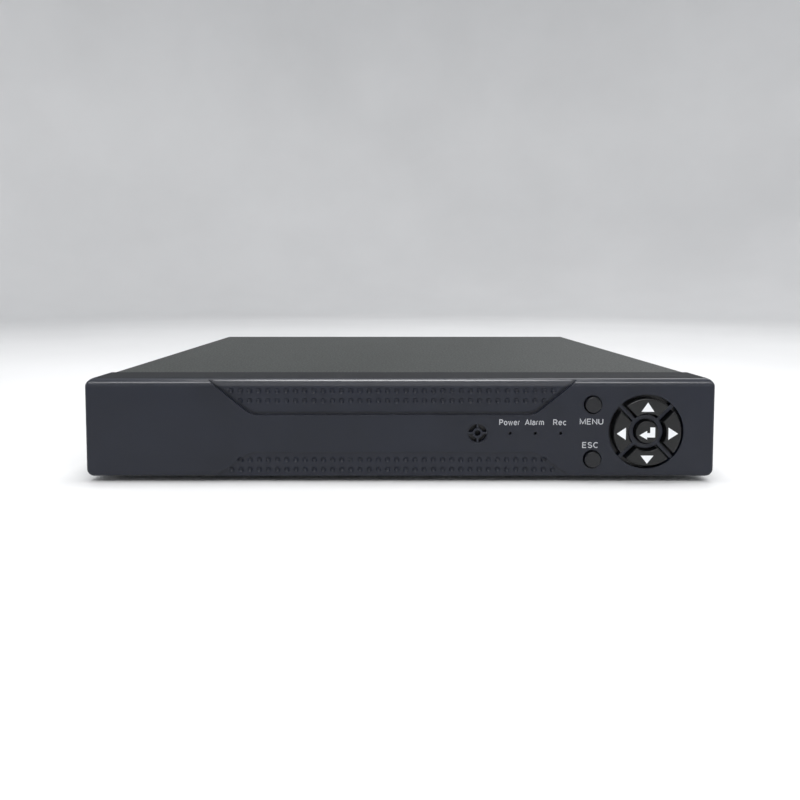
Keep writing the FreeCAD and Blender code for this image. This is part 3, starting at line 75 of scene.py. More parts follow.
class Look:
    """One material: a principled shader with helpers for the nodes that feed it."""

    def __init__(self, name):
        self.material = bpy.data.materials.new(name)
        self.material.use_nodes = True
        self.tree = self.material.node_tree
        self.tree.nodes.clear()
        output = self.tree.nodes.new("ShaderNodeOutputMaterial")
        self.shader = self.tree.nodes.new("ShaderNodeBsdfPrincipled")
        self.tree.links.new(self.shader.outputs[0], output.inputs["Surface"])
        self.place = self.tree.nodes.new("ShaderNodeTexCoord").outputs["Object"]

    def feed(self, socket, value):
        """Links a socket to a node's output, or sets it to a plain value."""
        if isinstance(value, bpy.types.NodeSocket):
            self.tree.links.new(value, socket)
        else:
            socket.default_value = value

    def add(self, kind, inputs=(), **settings):
        """Adds a node with its settings and its inputs."""
        item = self.tree.nodes.new(kind)
        for name, value in settings.items():
            setattr(item, name, value)
        for key, value in dict(inputs).items():
            self.feed(item.inputs[key], value)
        return item

    def set(self, **inputs):
        """Feeds the shader's own inputs, which are named with underscores for spaces."""
        for name, value in inputs.items():
            self.feed(self.shader.inputs[name.replace("_", " ")], value)

    def noise(self, size, detail=2.0, stretch=None):
        """Noise from 0 to 1 with features of the size given, in metres."""
        place = self.place
        if stretch:
            place = self.add("ShaderNodeMapping", {"Vector": place, "Scale": stretch}).outputs[0]
        return self.add("ShaderNodeTexNoise",
                        {"Vector": place, "Scale": 1 / size, "Detail": detail}).outputs[0]

    def spread(self, value, low, high, start=0.3, end=0.7):
        """Maps a value between start and end to a range."""
        return self.add("ShaderNodeMapRange", {"Value": value, "From Min": start, "From Max": end,
                                               "To Min": low, "To Max": high}).outputs[0]

    def blend(self, share, first, second):
        """The first colour where share is 0 and the second where it is 1."""
        item = self.add("ShaderNodeMix", data_type="RGBA")
        self.feed(item.inputs[0], share)
        self.feed(item.inputs[6], first)
        self.feed(item.inputs[7], second)
        return item.outputs[2]

    def math(self, operation, first, second=0.0):
        item = self.add("ShaderNodeMath", operation=operation)
        self.feed(item.inputs[0], first)
        self.feed(item.inputs[1], second)
        return item.outputs[0]

    def axis(self, name):
        """One coordinate of the place that is shaded, in metres."""
        if not hasattr(self, "axes"):
            self.axes = self.add("ShaderNodeSeparateXYZ", {"Vector": self.place}).outputs
        return self.axes["XYZ".index(name)]

    def beyond(self, value, limit, soft=0.02 * MM):
        """1 where the value is above the limit and 0 below it, with a thin soft edge."""
        return self.spread(value, 0.0, 1.0, limit - soft, limit + soft)

    def below(self, value, limit, soft=0.02 * MM):
        """1 where the value is below the limit and 0 above it."""
        return self.spread(value, 1.0, 0.0, limit - soft, limit + soft)

    def all_of(self, *masks):
        result = masks[0]
        for mask in masks[1:]:
            result = self.math("MULTIPLY", result, mask)
        return result

    def any_of(self, *masks):
        result = masks[0]
        for mask in masks[1:]:
            result = self.math("MAXIMUM", result, mask)
        return result

    def plus(self, value, factor, other):
        """value times factor plus other."""
        return self.math("ADD", self.math("MULTIPLY", value, factor), other)

    def polygon(self, corners):
        """1 inside a convex outline in X and Z, whose corners run anticlockwise as seen from the front."""
        sides = []
        for (x, z), (next_x, next_z) in zip(corners, corners[1:] + corners[:1]):
            length = math.hypot(next_x - x, next_z - z)
            across = (z - next_z) / length
            up = (next_x - x) / length
            offset = -x * across - z * up
            distance = self.plus(self.axis("X"), across, self.plus(self.axis("Z"), up, offset))
            sides.append(self.beyond(distance, 0.0))
        return self.all_of(*sides)

    def bump(self, height, depth, normal=None):
        """A normal roughened by a height, on top of another normal if one is given."""
        item = self.add("ShaderNodeBump", {"Height": height, "Distance": depth, "Strength": 1.0})
        if normal:
            self.feed(item.inputs["Normal"], normal)
        return item.outputs[0]

    def soft_edges(self, radius):
        """A normal that rounds the sharp edges, so that they catch the light."""
        return self.add("ShaderNodeBevel", {"Radius": radius}, samples=8).outputs[0]


def surface(name, dark, light, rough=(0.4, 0.5), metal=0.0, patch=8 * MM, grain=0.3 * MM, depth=0.01 * MM,
            **extra):
    """A plain finish: colour and gloss vary softly over patches, and a fine grain covers it."""
    look = Look(name)
    patches = look.noise(patch, 3.0)
    color = look.blend(look.spread(patches, 0.0, 1.0), dark, light)
    fine = look.noise(grain, 2.0)
    look.set(Base_Color=color, Metallic=metal, Roughness=look.spread(fine, *rough),
             Normal=look.bump(fine, depth), **extra)
    return look


def panel_look(name, dark, light):
    """Dark moulded plastic with a fine spark-eroded texture."""
    look = Look(name)
    fine = look.noise(0.25 * MM, 3.0)
    patches = look.noise(25 * MM, 2.0)
    color = look.blend(look.spread(patches, 0.0, 1.0), dark, light)
    look.set(Base_Color=color, Roughness=look.spread(fine, 0.3, 0.4), Specular_IOR_Level=0.38,
             Normal=look.bump(fine, 0.008 * MM, look.soft_edges(0.3 * MM)))
    return look


# Dark colour for the panel's flat top: painted shade, not the plastic's own colour.
PANEL_TOP_PAINTED_SHADE = linear(8, 11, 18)
KEY_MARK_COLOR = linear(236, 238, 240)


def front_look(name, dark, light, box):
    """The panel's plastic: its rounded upper edge is polished, and its top is rougher and has a darker colour
    that is painted shade.
    """
    look = panel_look(name, dark, light)
    height = look.axis("Z")
    matt_and_painted_shade = look.beyond(height, box[1].z - TOP_DROP)
    polished = look.all_of(look.beyond(height, box[1].z - EDGE_DROP, EDGE_SOFT),
                           look.below(height, box[1].z - TOP_DROP))
    rough = look.shader.inputs["Roughness"].links[0].from_socket
    color = look.shader.inputs["Base Color"].links[0].from_socket
    # The flat top is made rougher, and its darker colour is painted shade.
    look.set(Coat_Weight=polished, Coat_Roughness=0.25, Roughness=look.plus(matt_and_painted_shade, 0.4, rough),
             Base_Color=look.blend(matt_and_painted_shade, color, PANEL_TOP_PAINTED_SHADE))
    return look


def marked_key_look(name, dark, light, marks, front):
    """The key plastic with white marks on its front face, each a list of corners."""
    look = panel_look(name, dark, light)
    plain = look.shader.inputs["Base Color"].links[0].from_socket
    masks = [look.polygon(corners) for corners in marks]
    mask = look.all_of(look.any_of(*masks), look.below(look.axis("Y"), front + KEY_EDGE))
    look.set(Base_Color=look.blend(mask, plain, KEY_MARK_COLOR))
    return look


def powder_look(name, dark, light):
    """Powder coat: coarse grain with a slight glitter of lighter specks."""
    look = Look(name)
    grain = look.noise(0.9 * MM, 3.0)
    fine = look.noise(0.3 * MM, 2.0)
    patches = look.noise(40 * MM, 2.0)
    specks = look.spread(fine, 0.0, 1.0, 0.55, 0.75)
    color = look.blend(look.spread(patches, 0.0, 1.0), dark, light)
    color = look.blend(look.math("MULTIPLY", specks, 0.35), color, light)
    height = look.math("ADD", grain, look.math("MULTIPLY", fine, 0.4))
    look.set(Base_Color=color, Roughness=look.spread(grain, 0.42, 0.58), Normal=look.bump(height, 0.05 * MM),
             Specular_IOR_Level=0.38)
    return look


def plated_look(name, dark, light, rough=(0.16, 0.3)):
    """Nickel plate with faint marks that run around and along the turned parts."""
    look = Look(name)
    marks = look.noise(0.12 * MM, 2.0, (1.0, 0.25, 1.0))
    patches = look.noise(3 * MM, 3.0)
    color = look.blend(look.spread(patches, 0.0, 1.0), dark, light)
    look.set(Base_Color=color, Metallic=1.0, Roughness=look.spread(marks, *rough),
             Normal=look.bump(marks, 0.004 * MM))
    return look


def board_look(name):
    """Green solder mask with tracks a shade lighter and a weave under it."""
    look = Look(name)
    tracks = look.add("ShaderNodeTexBrick", {"Vector": look.place, "Scale": 1 / (9 * MM), "Mortar Size": 0.03,
                                             "Color1": (0, 0, 0, 1), "Color2": (0.2, 0.2, 0.2, 1),
                                             "Mortar": (1, 1, 1, 1)}).outputs[0]
    fine = look.noise(0.4 * MM, 2.0)
    color = look.blend(tracks, linear(18, 74, 40), linear(40, 112, 66))
    color = look.blend(look.spread(look.noise(14 * MM, 3.0), 0.0, 0.5), color, linear(10, 56, 32))
    look.set(Base_Color=color, Roughness=look.spread(fine, 0.25, 0.38), Normal=look.bump(fine, 0.006 * MM))
    return look


def tray_look(name):
    """Zinc-coated sheet: blue-grey, with the large soft flakes of the coating."""
    look = Look(name)
    flakes = look.add("ShaderNodeTexVoronoi", {"Vector": look.place, "Scale": 1 / (7 * MM)}).outputs["Color"]
    tone = look.add("ShaderNodeSeparateColor", {"Color": flakes}).outputs[0]
    fine = look.noise(0.5 * MM, 3.0)
    color = look.blend(look.spread(tone, 0.0, 1.0, 0.0, 1.0), linear(196, 216, 229), linear(200, 219, 232))
    look.set(Base_Color=color, Metallic=0.1, Roughness=look.spread(fine, 0.38, 0.5),
             Normal=look.bump(fine, 0.008 * MM))
    return look


def light_pair_look(name, box):
    """Frosted plastic, green in one light and amber in the other."""
    look = Look(name)
    cloud = look.spread(look.noise(0.8 * MM, 2.0), 0.0, 1.0)
    green = look.blend(cloud, linear(52, 112, 58), linear(84, 150, 84))
    amber = look.blend(cloud, linear(172, 158, 54), linear(198, 186, 88))
    side = look.beyond(look.axis("X"), (box[0].x + box[1].x) / 2)
    look.set(Base_Color=look.blend(side, green, amber), Roughness=look.spread(cloud, 0.2, 0.3, 0.0, 1.0))
    return look


def turned_look(name, dark, light, centre):
    """Metal with fine rings about a vertical axis through the centre."""
    look = Look(name)
    shift = (-centre[0], -centre[1], 0)
    moved = look.add("ShaderNodeMapping", {"Vector": look.place, "Location": shift}).outputs[0]
    rings = look.add("ShaderNodeTexWave", {"Vector": moved, "Scale": 1 / (1.2 * MM), "Distortion": 0.4},
                     wave_type="RINGS", rings_direction="Z").outputs["Fac"]
    color = look.blend(look.spread(rings, 0.0, 1.0, 0.0, 1.0), dark, light)
    look.set(Base_Color=color, Metallic=1.0, Roughness=look.spread(rings, 0.08, 0.16, 0.0, 1.0))
    return look


# ---------------------------------------------------------------- mesh helpers

SHARPEST_MITRE = 0.5  # keeps the corner of a narrow V from growing without end
LETTER_GAP = 0.3


class Mesh:
    """Collects vertices and faces of one piece, in metres."""

    def __init__(self):
        self.points = []
        self.faces = []

    def prism(self, outline, low_y, high_y):
        """A closed prism of an outline in X and Z between two values of Y."""
        first = len(self.points)
        count = len(outline)
        self.points += [(x, low_y, z) for x, z in outline]
        self.points += [(x, high_y, z) for x, z in outline]
        self.faces.append([first + number for number in range(count)])
        self.faces.append([first + count + number for number in reversed(range(count))])
        for number in range(count):
            after = (number + 1) % count
            self.faces.append([first + after, first + number, first + count + number, first + count + after])

    def frame(self, outer, inner, low_y, high_y):
        """A closed ring between two outlines with the same number of corners."""
        first = len(self.points)
        count = len(outer)
        for y in (low_y, high_y):
            self.points += [(x, y, z) for x, z in outer]
            self.points += [(x, y, z) for x, z in inner]
        for number in range(count):
            after = (number + 1) % count
            a, b = first + number, first + after
            c, d = a + count, b + count
            e, f, g, h = a + 2 * count, b + 2 * count, c + 2 * count, d + 2 * count
            self.faces += [[a, b, d, c], [e, g, h, f], [b, a, e, f], [c, d, h, g]]

    def block(self, low, high):
        """A box between two corners."""
        outline = [(low[0], low[2]), (high[0], low[2]), (high[0], high[2]), (low[0], high[2])]
        self.prism(outline, low[1], high[1])

    def strip(self, outline, low_x, high_x):
        """A closed prism of an outline in Y and Z between two values of X."""
        first = len(self.points)
        count = len(outline)
        self.points += [(low_x, y, z) for y, z in outline]
        self.points += [(high_x, y, z) for y, z in outline]
        self.faces.append([first + number for number in reversed(range(count))])
        self.faces.append([first + count + number for number in range(count)])
        for number in range(count):
            after = (number + 1) % count
            self.faces.append([first + number, first + after, first + count + after, first + count + number])

    def spin(self, centre, profile, steps=48):
        """A closed ring about an axis along Y: the profile holds (radius, y) corners."""
        first = len(self.points)
        count = len(profile)
        for step in range(steps):
            angle = 2 * math.pi * step / steps
            side, rise = math.cos(angle), math.sin(angle)
            for radius, y in profile:
                self.points.append((centre[0] + radius * side, y, centre[1] + radius * rise))
        for step in range(steps):
            here = first + step * count
            there = first + (step + 1) % steps * count
            for number in range(count):
                after = (number + 1) % count
                self.faces.append([here + number, here + after, there + after, there + number])

    def stroke(self, path, width, low_y, high_y, closed=False):
        """A line of constant width along a path in X and Z, with mitred corners."""
        count = len(path)
        first = len(self.points)
        for number, (x, z) in enumerate(path):
            before = path[number - 1] if number or closed else None
            after = path[(number + 1) % count] if number < count - 1 or closed else None
            across = mitre(before, (x, z), after)
            for side in (-0.5, 0.5):
                for y in (low_y, high_y):
                    self.points.append((x + across[0] * width * side, y, z + across[1] * width * side))
        for number in range(count if closed else count - 1):
            here = first + 4 * number
            there = first + 4 * ((number + 1) % count)
            for a, b in ((0, 2), (2, 3), (3, 1), (1, 0)):
                self.faces.append([here + a, here + b, there + b, there + a])
        if not closed:
            last = first + 4 * (count - 1)
            self.faces.append([first, first + 1, first + 3, first + 2])
            self.faces.append([last, last + 2, last + 3, last + 1])

    def words(self, text, centre, size, width, depths, mirror=False):
        """Lettering drawn with strokes, fitted round a centre; mirror turns it to be read from behind."""
        reach = sum(GLYPHS[letter][0] for letter in text) + LETTER_GAP * (len(text) - 1)
        across = (size[0] - width) / reach * (-1 if mirror else 1)
        up = size[1] - width
        start = -reach / 2
        for letter in text:
            advance, strokes = GLYPHS[letter]
            for path in strokes:
                closed = path[0] == path[-1]
                places = [(centre[0] + (start + x) * across, centre[1] + (z - 0.5) * up)
                          for x, z in (path[:-1] if closed else path)]
                self.stroke(places, width, *depths, closed=closed)
            start += advance + LETTER_GAP

    def build(self, name, look, smooth=False):
        """Makes the object, gives it its look and fixes it to the case."""
        mesh = bpy.data.meshes.new(name)
        mesh.from_pydata(self.points, [], self.faces)
        mesh.validate()
        mesh.update()
        item = bpy.data.objects.new(name, mesh)
        bpy.context.scene.collection.objects.link(item)
        mesh.materials.append(look.material)
        for polygon in mesh.polygons:
            polygon.use_smooth = smooth
        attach(item, "recorder")


def mitre(before, here, after):
    """The sideways vector at a corner of a path that keeps the width of its stroke constant."""
    directions = [Vector((there[0] - start[0], there[1] - start[1])).normalized()
                  for start, there in ((before, here), (here, after)) if start and there]
    normals = [Vector((-direction.y, direction.x)) for direction in directions]
    total = sum(normals, Vector((0, 0))).normalized()
    return total / max(total.dot(normals[0]), SHARPEST_MITRE)


def arc(x, z, width, height, start, end, steps=10):
    """Points of an arc of an ellipse, with its angles in degrees."""
    angles = [math.radians(start + (end - start) * step / steps) for step in range(steps + 1)]
    return [(x + width * math.cos(angle), z + height * math.sin(angle)) for angle in angles]


def ring(x, z, width, height):
    """A closed ellipse: its last point is its first one again."""
    points = arc(x, z, width, height, 0, 360, 20)
    return points[:-1] + points[:1]


# ---------------------------------------------------------------- stroke alphabet

# Each letter has its advance and its strokes, in units of the letter's height.
P_BOWL = [(0, 0), (0, 1), (0.34, 1), *arc(0.34, 0.73, 0.26, 0.27, 90, -90), (0, 0.46)]
GLYPHS = {
    " ": (0.1, []),
    "-": (0.34, [[(0, 0.42), (0.34, 0.42)]]),
    "1": (0.28, [[(0, 0.78), (0.28, 1), (0.28, 0)]]),
    "2": (0.56, [[*arc(0.28, 0.71, 0.27, 0.29, 170, -35), (0, 0), (0.56, 0)]]),
    "3": (0.54, [[*arc(0.26, 0.76, 0.24, 0.24, 150, -80), *arc(0.26, 0.26, 0.27, 0.26, 80, -150)]]),
    "4": (0.6, [[(0.46, 0), (0.46, 1), (0, 0.3), (0.6, 0.3)]]),
    "5": (0.56, [[(0.52, 1), (0.1, 1), (0.05, 0.5), *arc(0.27, 0.32, 0.28, 0.32, 130, -150)]]),
    "6": (0.56, [ring(0.28, 0.31, 0.27, 0.31), [*arc(0.33, 0.5, 0.32, 0.5, 60, 180), (0.01, 0.3)]]),
    "7": (0.56, [[(0, 1), (0.56, 1), (0.2, 0)]]),
    "8": (0.56, [ring(0.28, 0.76, 0.22, 0.24), ring(0.28, 0.26, 0.27, 0.26)]),
    "A": (0.78, [[(0, 0), (0.39, 1), (0.78, 0)], [(0.13, 0.33), (0.65, 0.33)]]),
    "B": (0.62, [[(0, 0.52), (0, 1), (0.36, 1), *arc(0.36, 0.76, 0.22, 0.24, 90, -90), (0, 0.52)],
                 [(0, 0), (0, 0.52), (0.38, 0.52), *arc(0.38, 0.26, 0.24, 0.26, 90, -90), (0, 0)]]),
    "C": (0.72, [arc(0.38, 0.5, 0.38, 0.5, 48, 312, 16)]),
    "D": (0.68, [[(0, 0), (0, 1), (0.3, 1), *arc(0.3, 0.5, 0.38, 0.5, 90, -90), (0, 0)]]),
    "E": (0.56, [[(0.56, 1), (0, 1), (0, 0), (0.56, 0)], [(0, 0.52), (0.5, 0.52)]]),
    "G": (0.76, [[*arc(0.38, 0.5, 0.38, 0.5, 48, 320, 16), (0.74, 0.45), (0.42, 0.45)]]),
    "H": (0.68, [[(0, 0), (0, 1)], [(0.68, 0), (0.68, 1)], [(0, 0.52), (0.68, 0.52)]]),
    "I": (0.02, [[(0.01, 0), (0.01, 1)]]),
    "M": (0.84, [[(0, 0), (0, 1), (0.42, 0.1), (0.84, 1), (0.84, 0)]]),
    "N": (0.68, [[(0, 0), (0, 1), (0.68, 0), (0.68, 1)]]),
    "O": (0.8, [ring(0.4, 0.5, 0.4, 0.5)]),
    "P": (0.6, [P_BOWL]),
    "R": (0.64, [P_BOWL, [(0.34, 0.46), (0.64, 0)]]),
    "S": (0.62, [[*arc(0.31, 0.75, 0.28, 0.25, 25, 260), *arc(0.31, 0.25, 0.31, 0.25, 80, -155)]]),
    "T": (0.66, [[(0, 1), (0.66, 1)], [(0.33, 1), (0.33, 0)]]),
    "U": (0.66, [[(0, 1), (0, 0.33), *arc(0.33, 0.33, 0.33, 0.33, 180, 360), (0.66, 1)]]),
    "V": (0.74, [[(0, 1), (0.37, 0), (0.74, 1)]]),
    "a": (0.48, [[*arc(0.25, 0.5, 0.23, 0.22, 160, 0), (0.48, 0)],
                 [(0.48, 0.42), (0.22, 0.42), *arc(0.22, 0.21, 0.22, 0.21, 90, 270), (0.48, 0.14)]]),
    "c": (0.48, [arc(0.26, 0.36, 0.26, 0.36, 45, 315, 14)]),
    "e": (0.52, [[(0.0, 0.38), (0.52, 0.38), *arc(0.26, 0.36, 0.26, 0.36, 15, 320, 14)]]),
    "l": (0.02, [[(0.01, 0), (0.01, 1)]]),
    "m": (0.8, [[(0, 0), (0, 0.72)], [*arc(0.2, 0.5, 0.2, 0.22, 180, 0), (0.4, 0)],
                [*arc(0.6, 0.5, 0.2, 0.22, 180, 0), (0.8, 0)]]),
    "o": (0.52, [ring(0.26, 0.36, 0.26, 0.36)]),
    "r": (0.26, [[(0, 0), (0, 0.72)], arc(0.26, 0.44, 0.26, 0.28, 180, 90)]),
    "w": (0.76, [[(0, 0.72), (0.19, 0), (0.38, 0.68), (0.57, 0), (0.76, 0.72)]]),
}


def rounded(centre, width, height, radius, steps=6):
    """Corners of a rounded rectangle in X and Z."""
    outline = []
    for turn, (side, rise) in enumerate(((1, 1), (-1, 1), (-1, -1), (1, -1))):
        middle_x = centre[0] + side * (width / 2 - radius)
        middle_z = centre[1] + rise * (height / 2 - radius)
        for step in range(steps + 1):
            angle = math.radians(90 * turn + 90 * step / steps)
            outline.append((middle_x + radius * math.cos(angle), middle_z + radius * math.sin(angle)))
    return outline


# ---------------------------------------------------------------- materials of the CAD pieces

panel = front_look("panel_plastic", linear(12, 17, 30), linear(17, 22, 36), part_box("front_panel"))
cover = powder_look("cover_steel", linear(26, 31, 28), linear(34, 39, 36))
KEY_COLORS = (linear(12, 13, 14), linear(16, 17, 18))
key = panel_look("key_plastic", *KEY_COLORS)
panel_key = panel_look("panel_key_plastic", linear(16, 17, 21), linear(20, 21, 26))
tray = tray_look("tray_steel")
plated = plated_look("plated_metal", linear(196, 194, 186), linear(224, 222, 214))
zinc = plated_look("steel_screw", linear(170, 172, 176), linear(200, 200, 202), (0.25, 0.4))
black_zinc = plated_look("black_screw", linear(46, 46, 50), linear(66, 66, 70), (0.3, 0.45))
brass = plated_look("contact_brass", linear(196, 158, 88), linear(224, 188, 112))
rubber = surface("foot_rubber", linear(24, 24, 24), linear(34, 34, 34), (0.7, 0.85), grain=0.6 * MM,
                 depth=0.03 * MM)
black = surface("black_plastic", linear(22, 22, 24), linear(30, 30, 32), (0.4, 0.52))
white = surface("white_plastic", linear(226, 226, 220), linear(238, 238, 234), (0.25, 0.35), depth=0.004 * MM)
red = surface("red_plastic", linear(176, 24, 26), linear(196, 34, 34), (0.25, 0.35), depth=0.004 * MM)
blue = surface("blue_plastic", linear(18, 96, 170), linear(26, 112, 186), (0.3, 0.4), depth=0.004 * MM)
ivory = surface("plunger_plastic", linear(206, 198, 170), linear(218, 210, 184), (0.4, 0.5))
smoky = surface("light_plastic", linear(74, 78, 76), linear(92, 96, 94), (0.2, 0.3), depth=0.002 * MM)
shield = plated_look("shield_plate", linear(84, 68, 58), linear(102, 86, 74), (0.28, 0.4))
socket_lights = light_pair_look("socket_lights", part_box("network_lights"))
board = board_look("board")
heatsink = surface("heatsink_metal", linear(70, 72, 76), linear(84, 86, 90), (0.3, 0.4), metal=0.9)
cast = surface("cast_metal", linear(170, 172, 174), linear(192, 194, 196), (0.32, 0.48), metal=1.0,
               grain=0.8 * MM, depth=0.02 * MM)
lid = surface("lid_steel", linear(186, 188, 190), linear(204, 206, 208), (0.22, 0.34), metal=1.0)
spindle = (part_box("disk_platters")[0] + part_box("disk_platters")[1]) / 2
platters = turned_look("platter_metal", linear(206, 206, 210), linear(222, 222, 226), spindle)
cable_red = surface("cable_red", linear(150, 26, 24), linear(172, 36, 32), (0.45, 0.55))
cable_dark = surface("cable_dark", linear(30, 30, 30), linear(44, 44, 44), (0.45, 0.55))
ribbon = surface("ribbon_white", linear(214, 214, 208), linear(228, 228, 222), (0.4, 0.5))

# The keys' white marks: corners in millimetres from the panel's middle and lower edge.
UP_MARK = [(97.0, 26.9), (102.2, 26.9), (99.6, 30.7)]
DOWN_MARK = [(99.6, 5.8), (102.2, 9.1), (97.0, 9.1)]
LEFT_MARK = [(87.2, 18.0), (90.9, 15.5), (90.9, 20.5)]
RIGHT_MARK = [(108.0, 15.5), (111.9, 18.0), (108.0, 20.5)]
RETURN_HEAD = [(96.5, 17.3), (99.6, 15.5), (99.6, 19.1)]
RETURN_SHAFT = [(99.5, 16.4), (102.8, 16.4), (102.8, 18.2), (99.5, 18.2)]
RETURN_STEM = [(100.8, 16.4), (102.8, 16.4), (102.8, 20.5), (100.8, 20.5)]
KEY_MARKS = {"up_key": [UP_MARK], "down_key": [DOWN_MARK], "left_key": [LEFT_MARK], "right_key": [RIGHT_MARK],
             "enter_key": [RETURN_HEAD, RETURN_SHAFT, RETURN_STEM]}

LOOKS = {
    "panel_plastic": panel, "cover_steel": cover, "tray_steel": tray, "foot_rubber": rubber,
    "black_screw": black_zinc, "steel_screw": zinc, "key_plastic": key, "panel_key_plastic": panel_key,
    "plunger_plastic": ivory, "switch_plastic": black, "board": board, "light_plastic": smoky,
    "black_plastic": black, "plated_metal": plated, "white_plastic": white, "red_plastic": red,
    "blue_plastic": blue, "contact_brass": brass, "heatsink_metal": heatsink, "cast_metal": cast,
    "lid_steel": lid, "platter_metal": platters, "cable_red": cable_red, "cable_dark": cable_dark,
    "ribbon_white": ribbon,
}


def dress_nodes():
    """Gives each CAD piece the look of its slot, and the marked keys and two socket pieces their own."""
    for part in frame["record"]["subparts"]:
        item = nodes[part["node"]]
        item.data.materials.clear()
        item.data.materials.append(LOOKS[part["material_slot"]].material)
    for name, marks in KEY_MARKS.items():
        places = [[front_point(x, z) for x, z in corners] for corners in marks]
        look = marked_key_look(f"{name}_plastic", *KEY_COLORS, places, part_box(name)[0].y)
        nodes[name].data.materials[0] = look.material
    nodes["network_stack_shield"].data.materials[0] = shield.material
    nodes["network_lights"].data.materials[0] = socket_lights.material


dress_nodes()


# ---------------------------------------------------------------- printing on the front

paint = surface("label_paint", linear(176, 178, 182), linear(190, 192, 196), (0.45, 0.55), depth=0.002 * MM)
FACE = (FRONT - LIFT, FRONT + LIFT)
WORD_HEIGHT, WORD_LINE = 2.4 * MM, 0.34 * MM

# Each word with its middle in X and Z and its width, in millimetres.
FRONT_WORDS = [("MENU", 77.5, 22.6, 9.5), ("ESC", 77.2, 13.0, 6.6), ("Power", 44.4, 22.3, 8.4),
               ("Alarm", 54.4, 22.3, 7.7), ("Rec", 64.7, 22.3, 5.4)]


def front_lettering():
    """The words by the two round keys and above the lights."""
    letters = Mesh()
    for word, x, z, width in FRONT_WORDS:
        letters.words(word, front_point(x, z), (width * MM, WORD_HEIGHT), WORD_LINE, FACE)
    letters.build("front_lettering", paint)


front_lettering()


# ---------------------------------------------------------------- printing on the rear plate

ink = surface("black_ink", linear(5, 5, 7), linear(9, 9, 11), (0.75, 0.85), depth=0.002 * MM)
white_ink = surface("white_ink", linear(214, 216, 218), linear(228, 230, 232), (0.45, 0.55), depth=0.002 * MM)
INK = (PLATE - LIFT, PLATE + LIFT)
ON_INK = (PLATE + LIFT, PLATE + 2 * LIFT)

# Plain numbers are millimetres, with x to the right as seen from behind. Those with MM are metres.
FRAME_LEFT, FRAME_RIGHT = -47.1, 19.4
FRAME_LOW, FRAME_HIGH = 1.0, 33.9
FRAME_CORNER, FRAME_LINE, BAND_TOP = 2.0, 0.45, 4.15

# Each label with its middle in X and Z and its width.
LABELS = [("HD-OUT", 29.8, 2.45, 14.1), ("A-IN", 48.6, 33.65, 10.2), ("A-OUT", 48.6, 2.4, 12.1),
          ("USB", 68.9, 2.4, 9.0), ("DC12V", 85.2, 2.4, 10.6), ("VGA", 100.5, 22.05, 10.7)]
LABEL_HEIGHT, LABEL_CORNER, LABEL_TEXT = 3.4, 0.9, 1.9
TEXT_SHARE = 0.8  # share of a label's width that its text takes
LABEL_LINE = 0.42 * MM
TITLE_SIZE = (13.2 * MM, 1.9 * MM)

CAMERA_COLUMNS = (10.5, -5.7, -21.9, -38.1)
CAMERA_ROWS = (26.9, 12.1)
NUMBER_SIZE, NUMBER_LINE = (2.7 * MM, 1.7 * MM), 0.28 * MM
NUMBER_LEFT, NUMBER_DROP = 6.9, 6.6
ICON_PLACE = (83.1, 24.3)


def rear_outline(x, z, width, height, radius):
    """A rounded rectangle on the rear plate, from sizes in millimetres."""
    return rounded(rear_point(x, z), width * MM, height * MM, radius * MM)


def video_frame(marks, text):
    """The printed frame round the camera sockets, with a black band for its title."""
    x = (FRAME_LEFT + FRAME_RIGHT) / 2
    z = (FRAME_LOW + FRAME_HIGH) / 2
    width = FRAME_RIGHT - FRAME_LEFT
    height = FRAME_HIGH - FRAME_LOW
    outer = rear_outline(x, z, width, height, FRAME_CORNER)
    inner = rear_outline(x, z, width - 2 * FRAME_LINE, height - 2 * FRAME_LINE, FRAME_CORNER - FRAME_LINE)
    marks.frame(outer, inner, *INK)
    band_top = BASE + BAND_TOP * MM
    lower = [corner for corner in inner if corner[1] < band_top]
    reach = width / 2 - FRAME_LINE
    left, right = rear_point(x - reach, BAND_TOP), rear_point(x + reach, BAND_TOP)
    marks.prism([left] + lower + [right], *INK)
    title = rear_point(x, (FRAME_LOW + BAND_TOP) / 2)
    text.words("VIDEO IN", title, TITLE_SIZE, LABEL_LINE, ON_INK, mirror=True)


def network_icon(marks, x, z):
    """Three small squares joined by lines."""
    line, square, stem = 0.35, 1.7, 1.0
    spread, rise, beam = 2.1, 1.85, 5.9
    for side, up in ((0, rise), (-spread, -rise), (spread, -rise)):
        marks.frame(rear_outline(x + side, z + up, square, square, 0.1),
                    rear_outline(x + side, z + up, square - 2 * line, square - 2 * line, 0.05), *INK)
    marks.prism(rear_outline(x, z, beam, line, 0.05), *INK)
    for side, up in ((0, stem / 2), (-spread, -stem / 2), (spread, -stem / 2)):
        marks.prism(rear_outline(x + side, z + up, line, stem, 0.05), *INK)


def rear_printing():
    """The frame, the sockets' numbers, the labels and the network sign, with their white text."""
    marks = Mesh()
    text = Mesh()
    video_frame(marks, text)
    for number in range(8):
        x, z = CAMERA_COLUMNS[number // 2], CAMERA_ROWS[number % 2]
        place = rear_point(x - NUMBER_LEFT, z - NUMBER_DROP)
        marks.words(f"V{number + 1}", place, NUMBER_SIZE, NUMBER_LINE, INK, mirror=True)
    for word, x, z, width in LABELS:
        marks.prism(rear_outline(x, z, width, LABEL_HEIGHT, LABEL_CORNER), *INK)
        size = (width * TEXT_SHARE * MM, LABEL_TEXT * MM)
        text.words(word, rear_point(x, z), size, LABEL_LINE, ON_INK, mirror=True)
    network_icon(marks, *ICON_PLACE)
    marks.build("rear_printing", ink)
    text.build("rear_lettering", white_ink)


rear_printing()


# ---------------------------------------------------------------- fine details of the rear sockets

# Sizes in millimetres.
THREAD_ROOT, THREAD_CREST = 6.25, 6.52
THREAD_START, THREAD_PITCH, THREAD_TURNS, THREAD_WIDTH = 0.35, 0.6, 4, 0.48

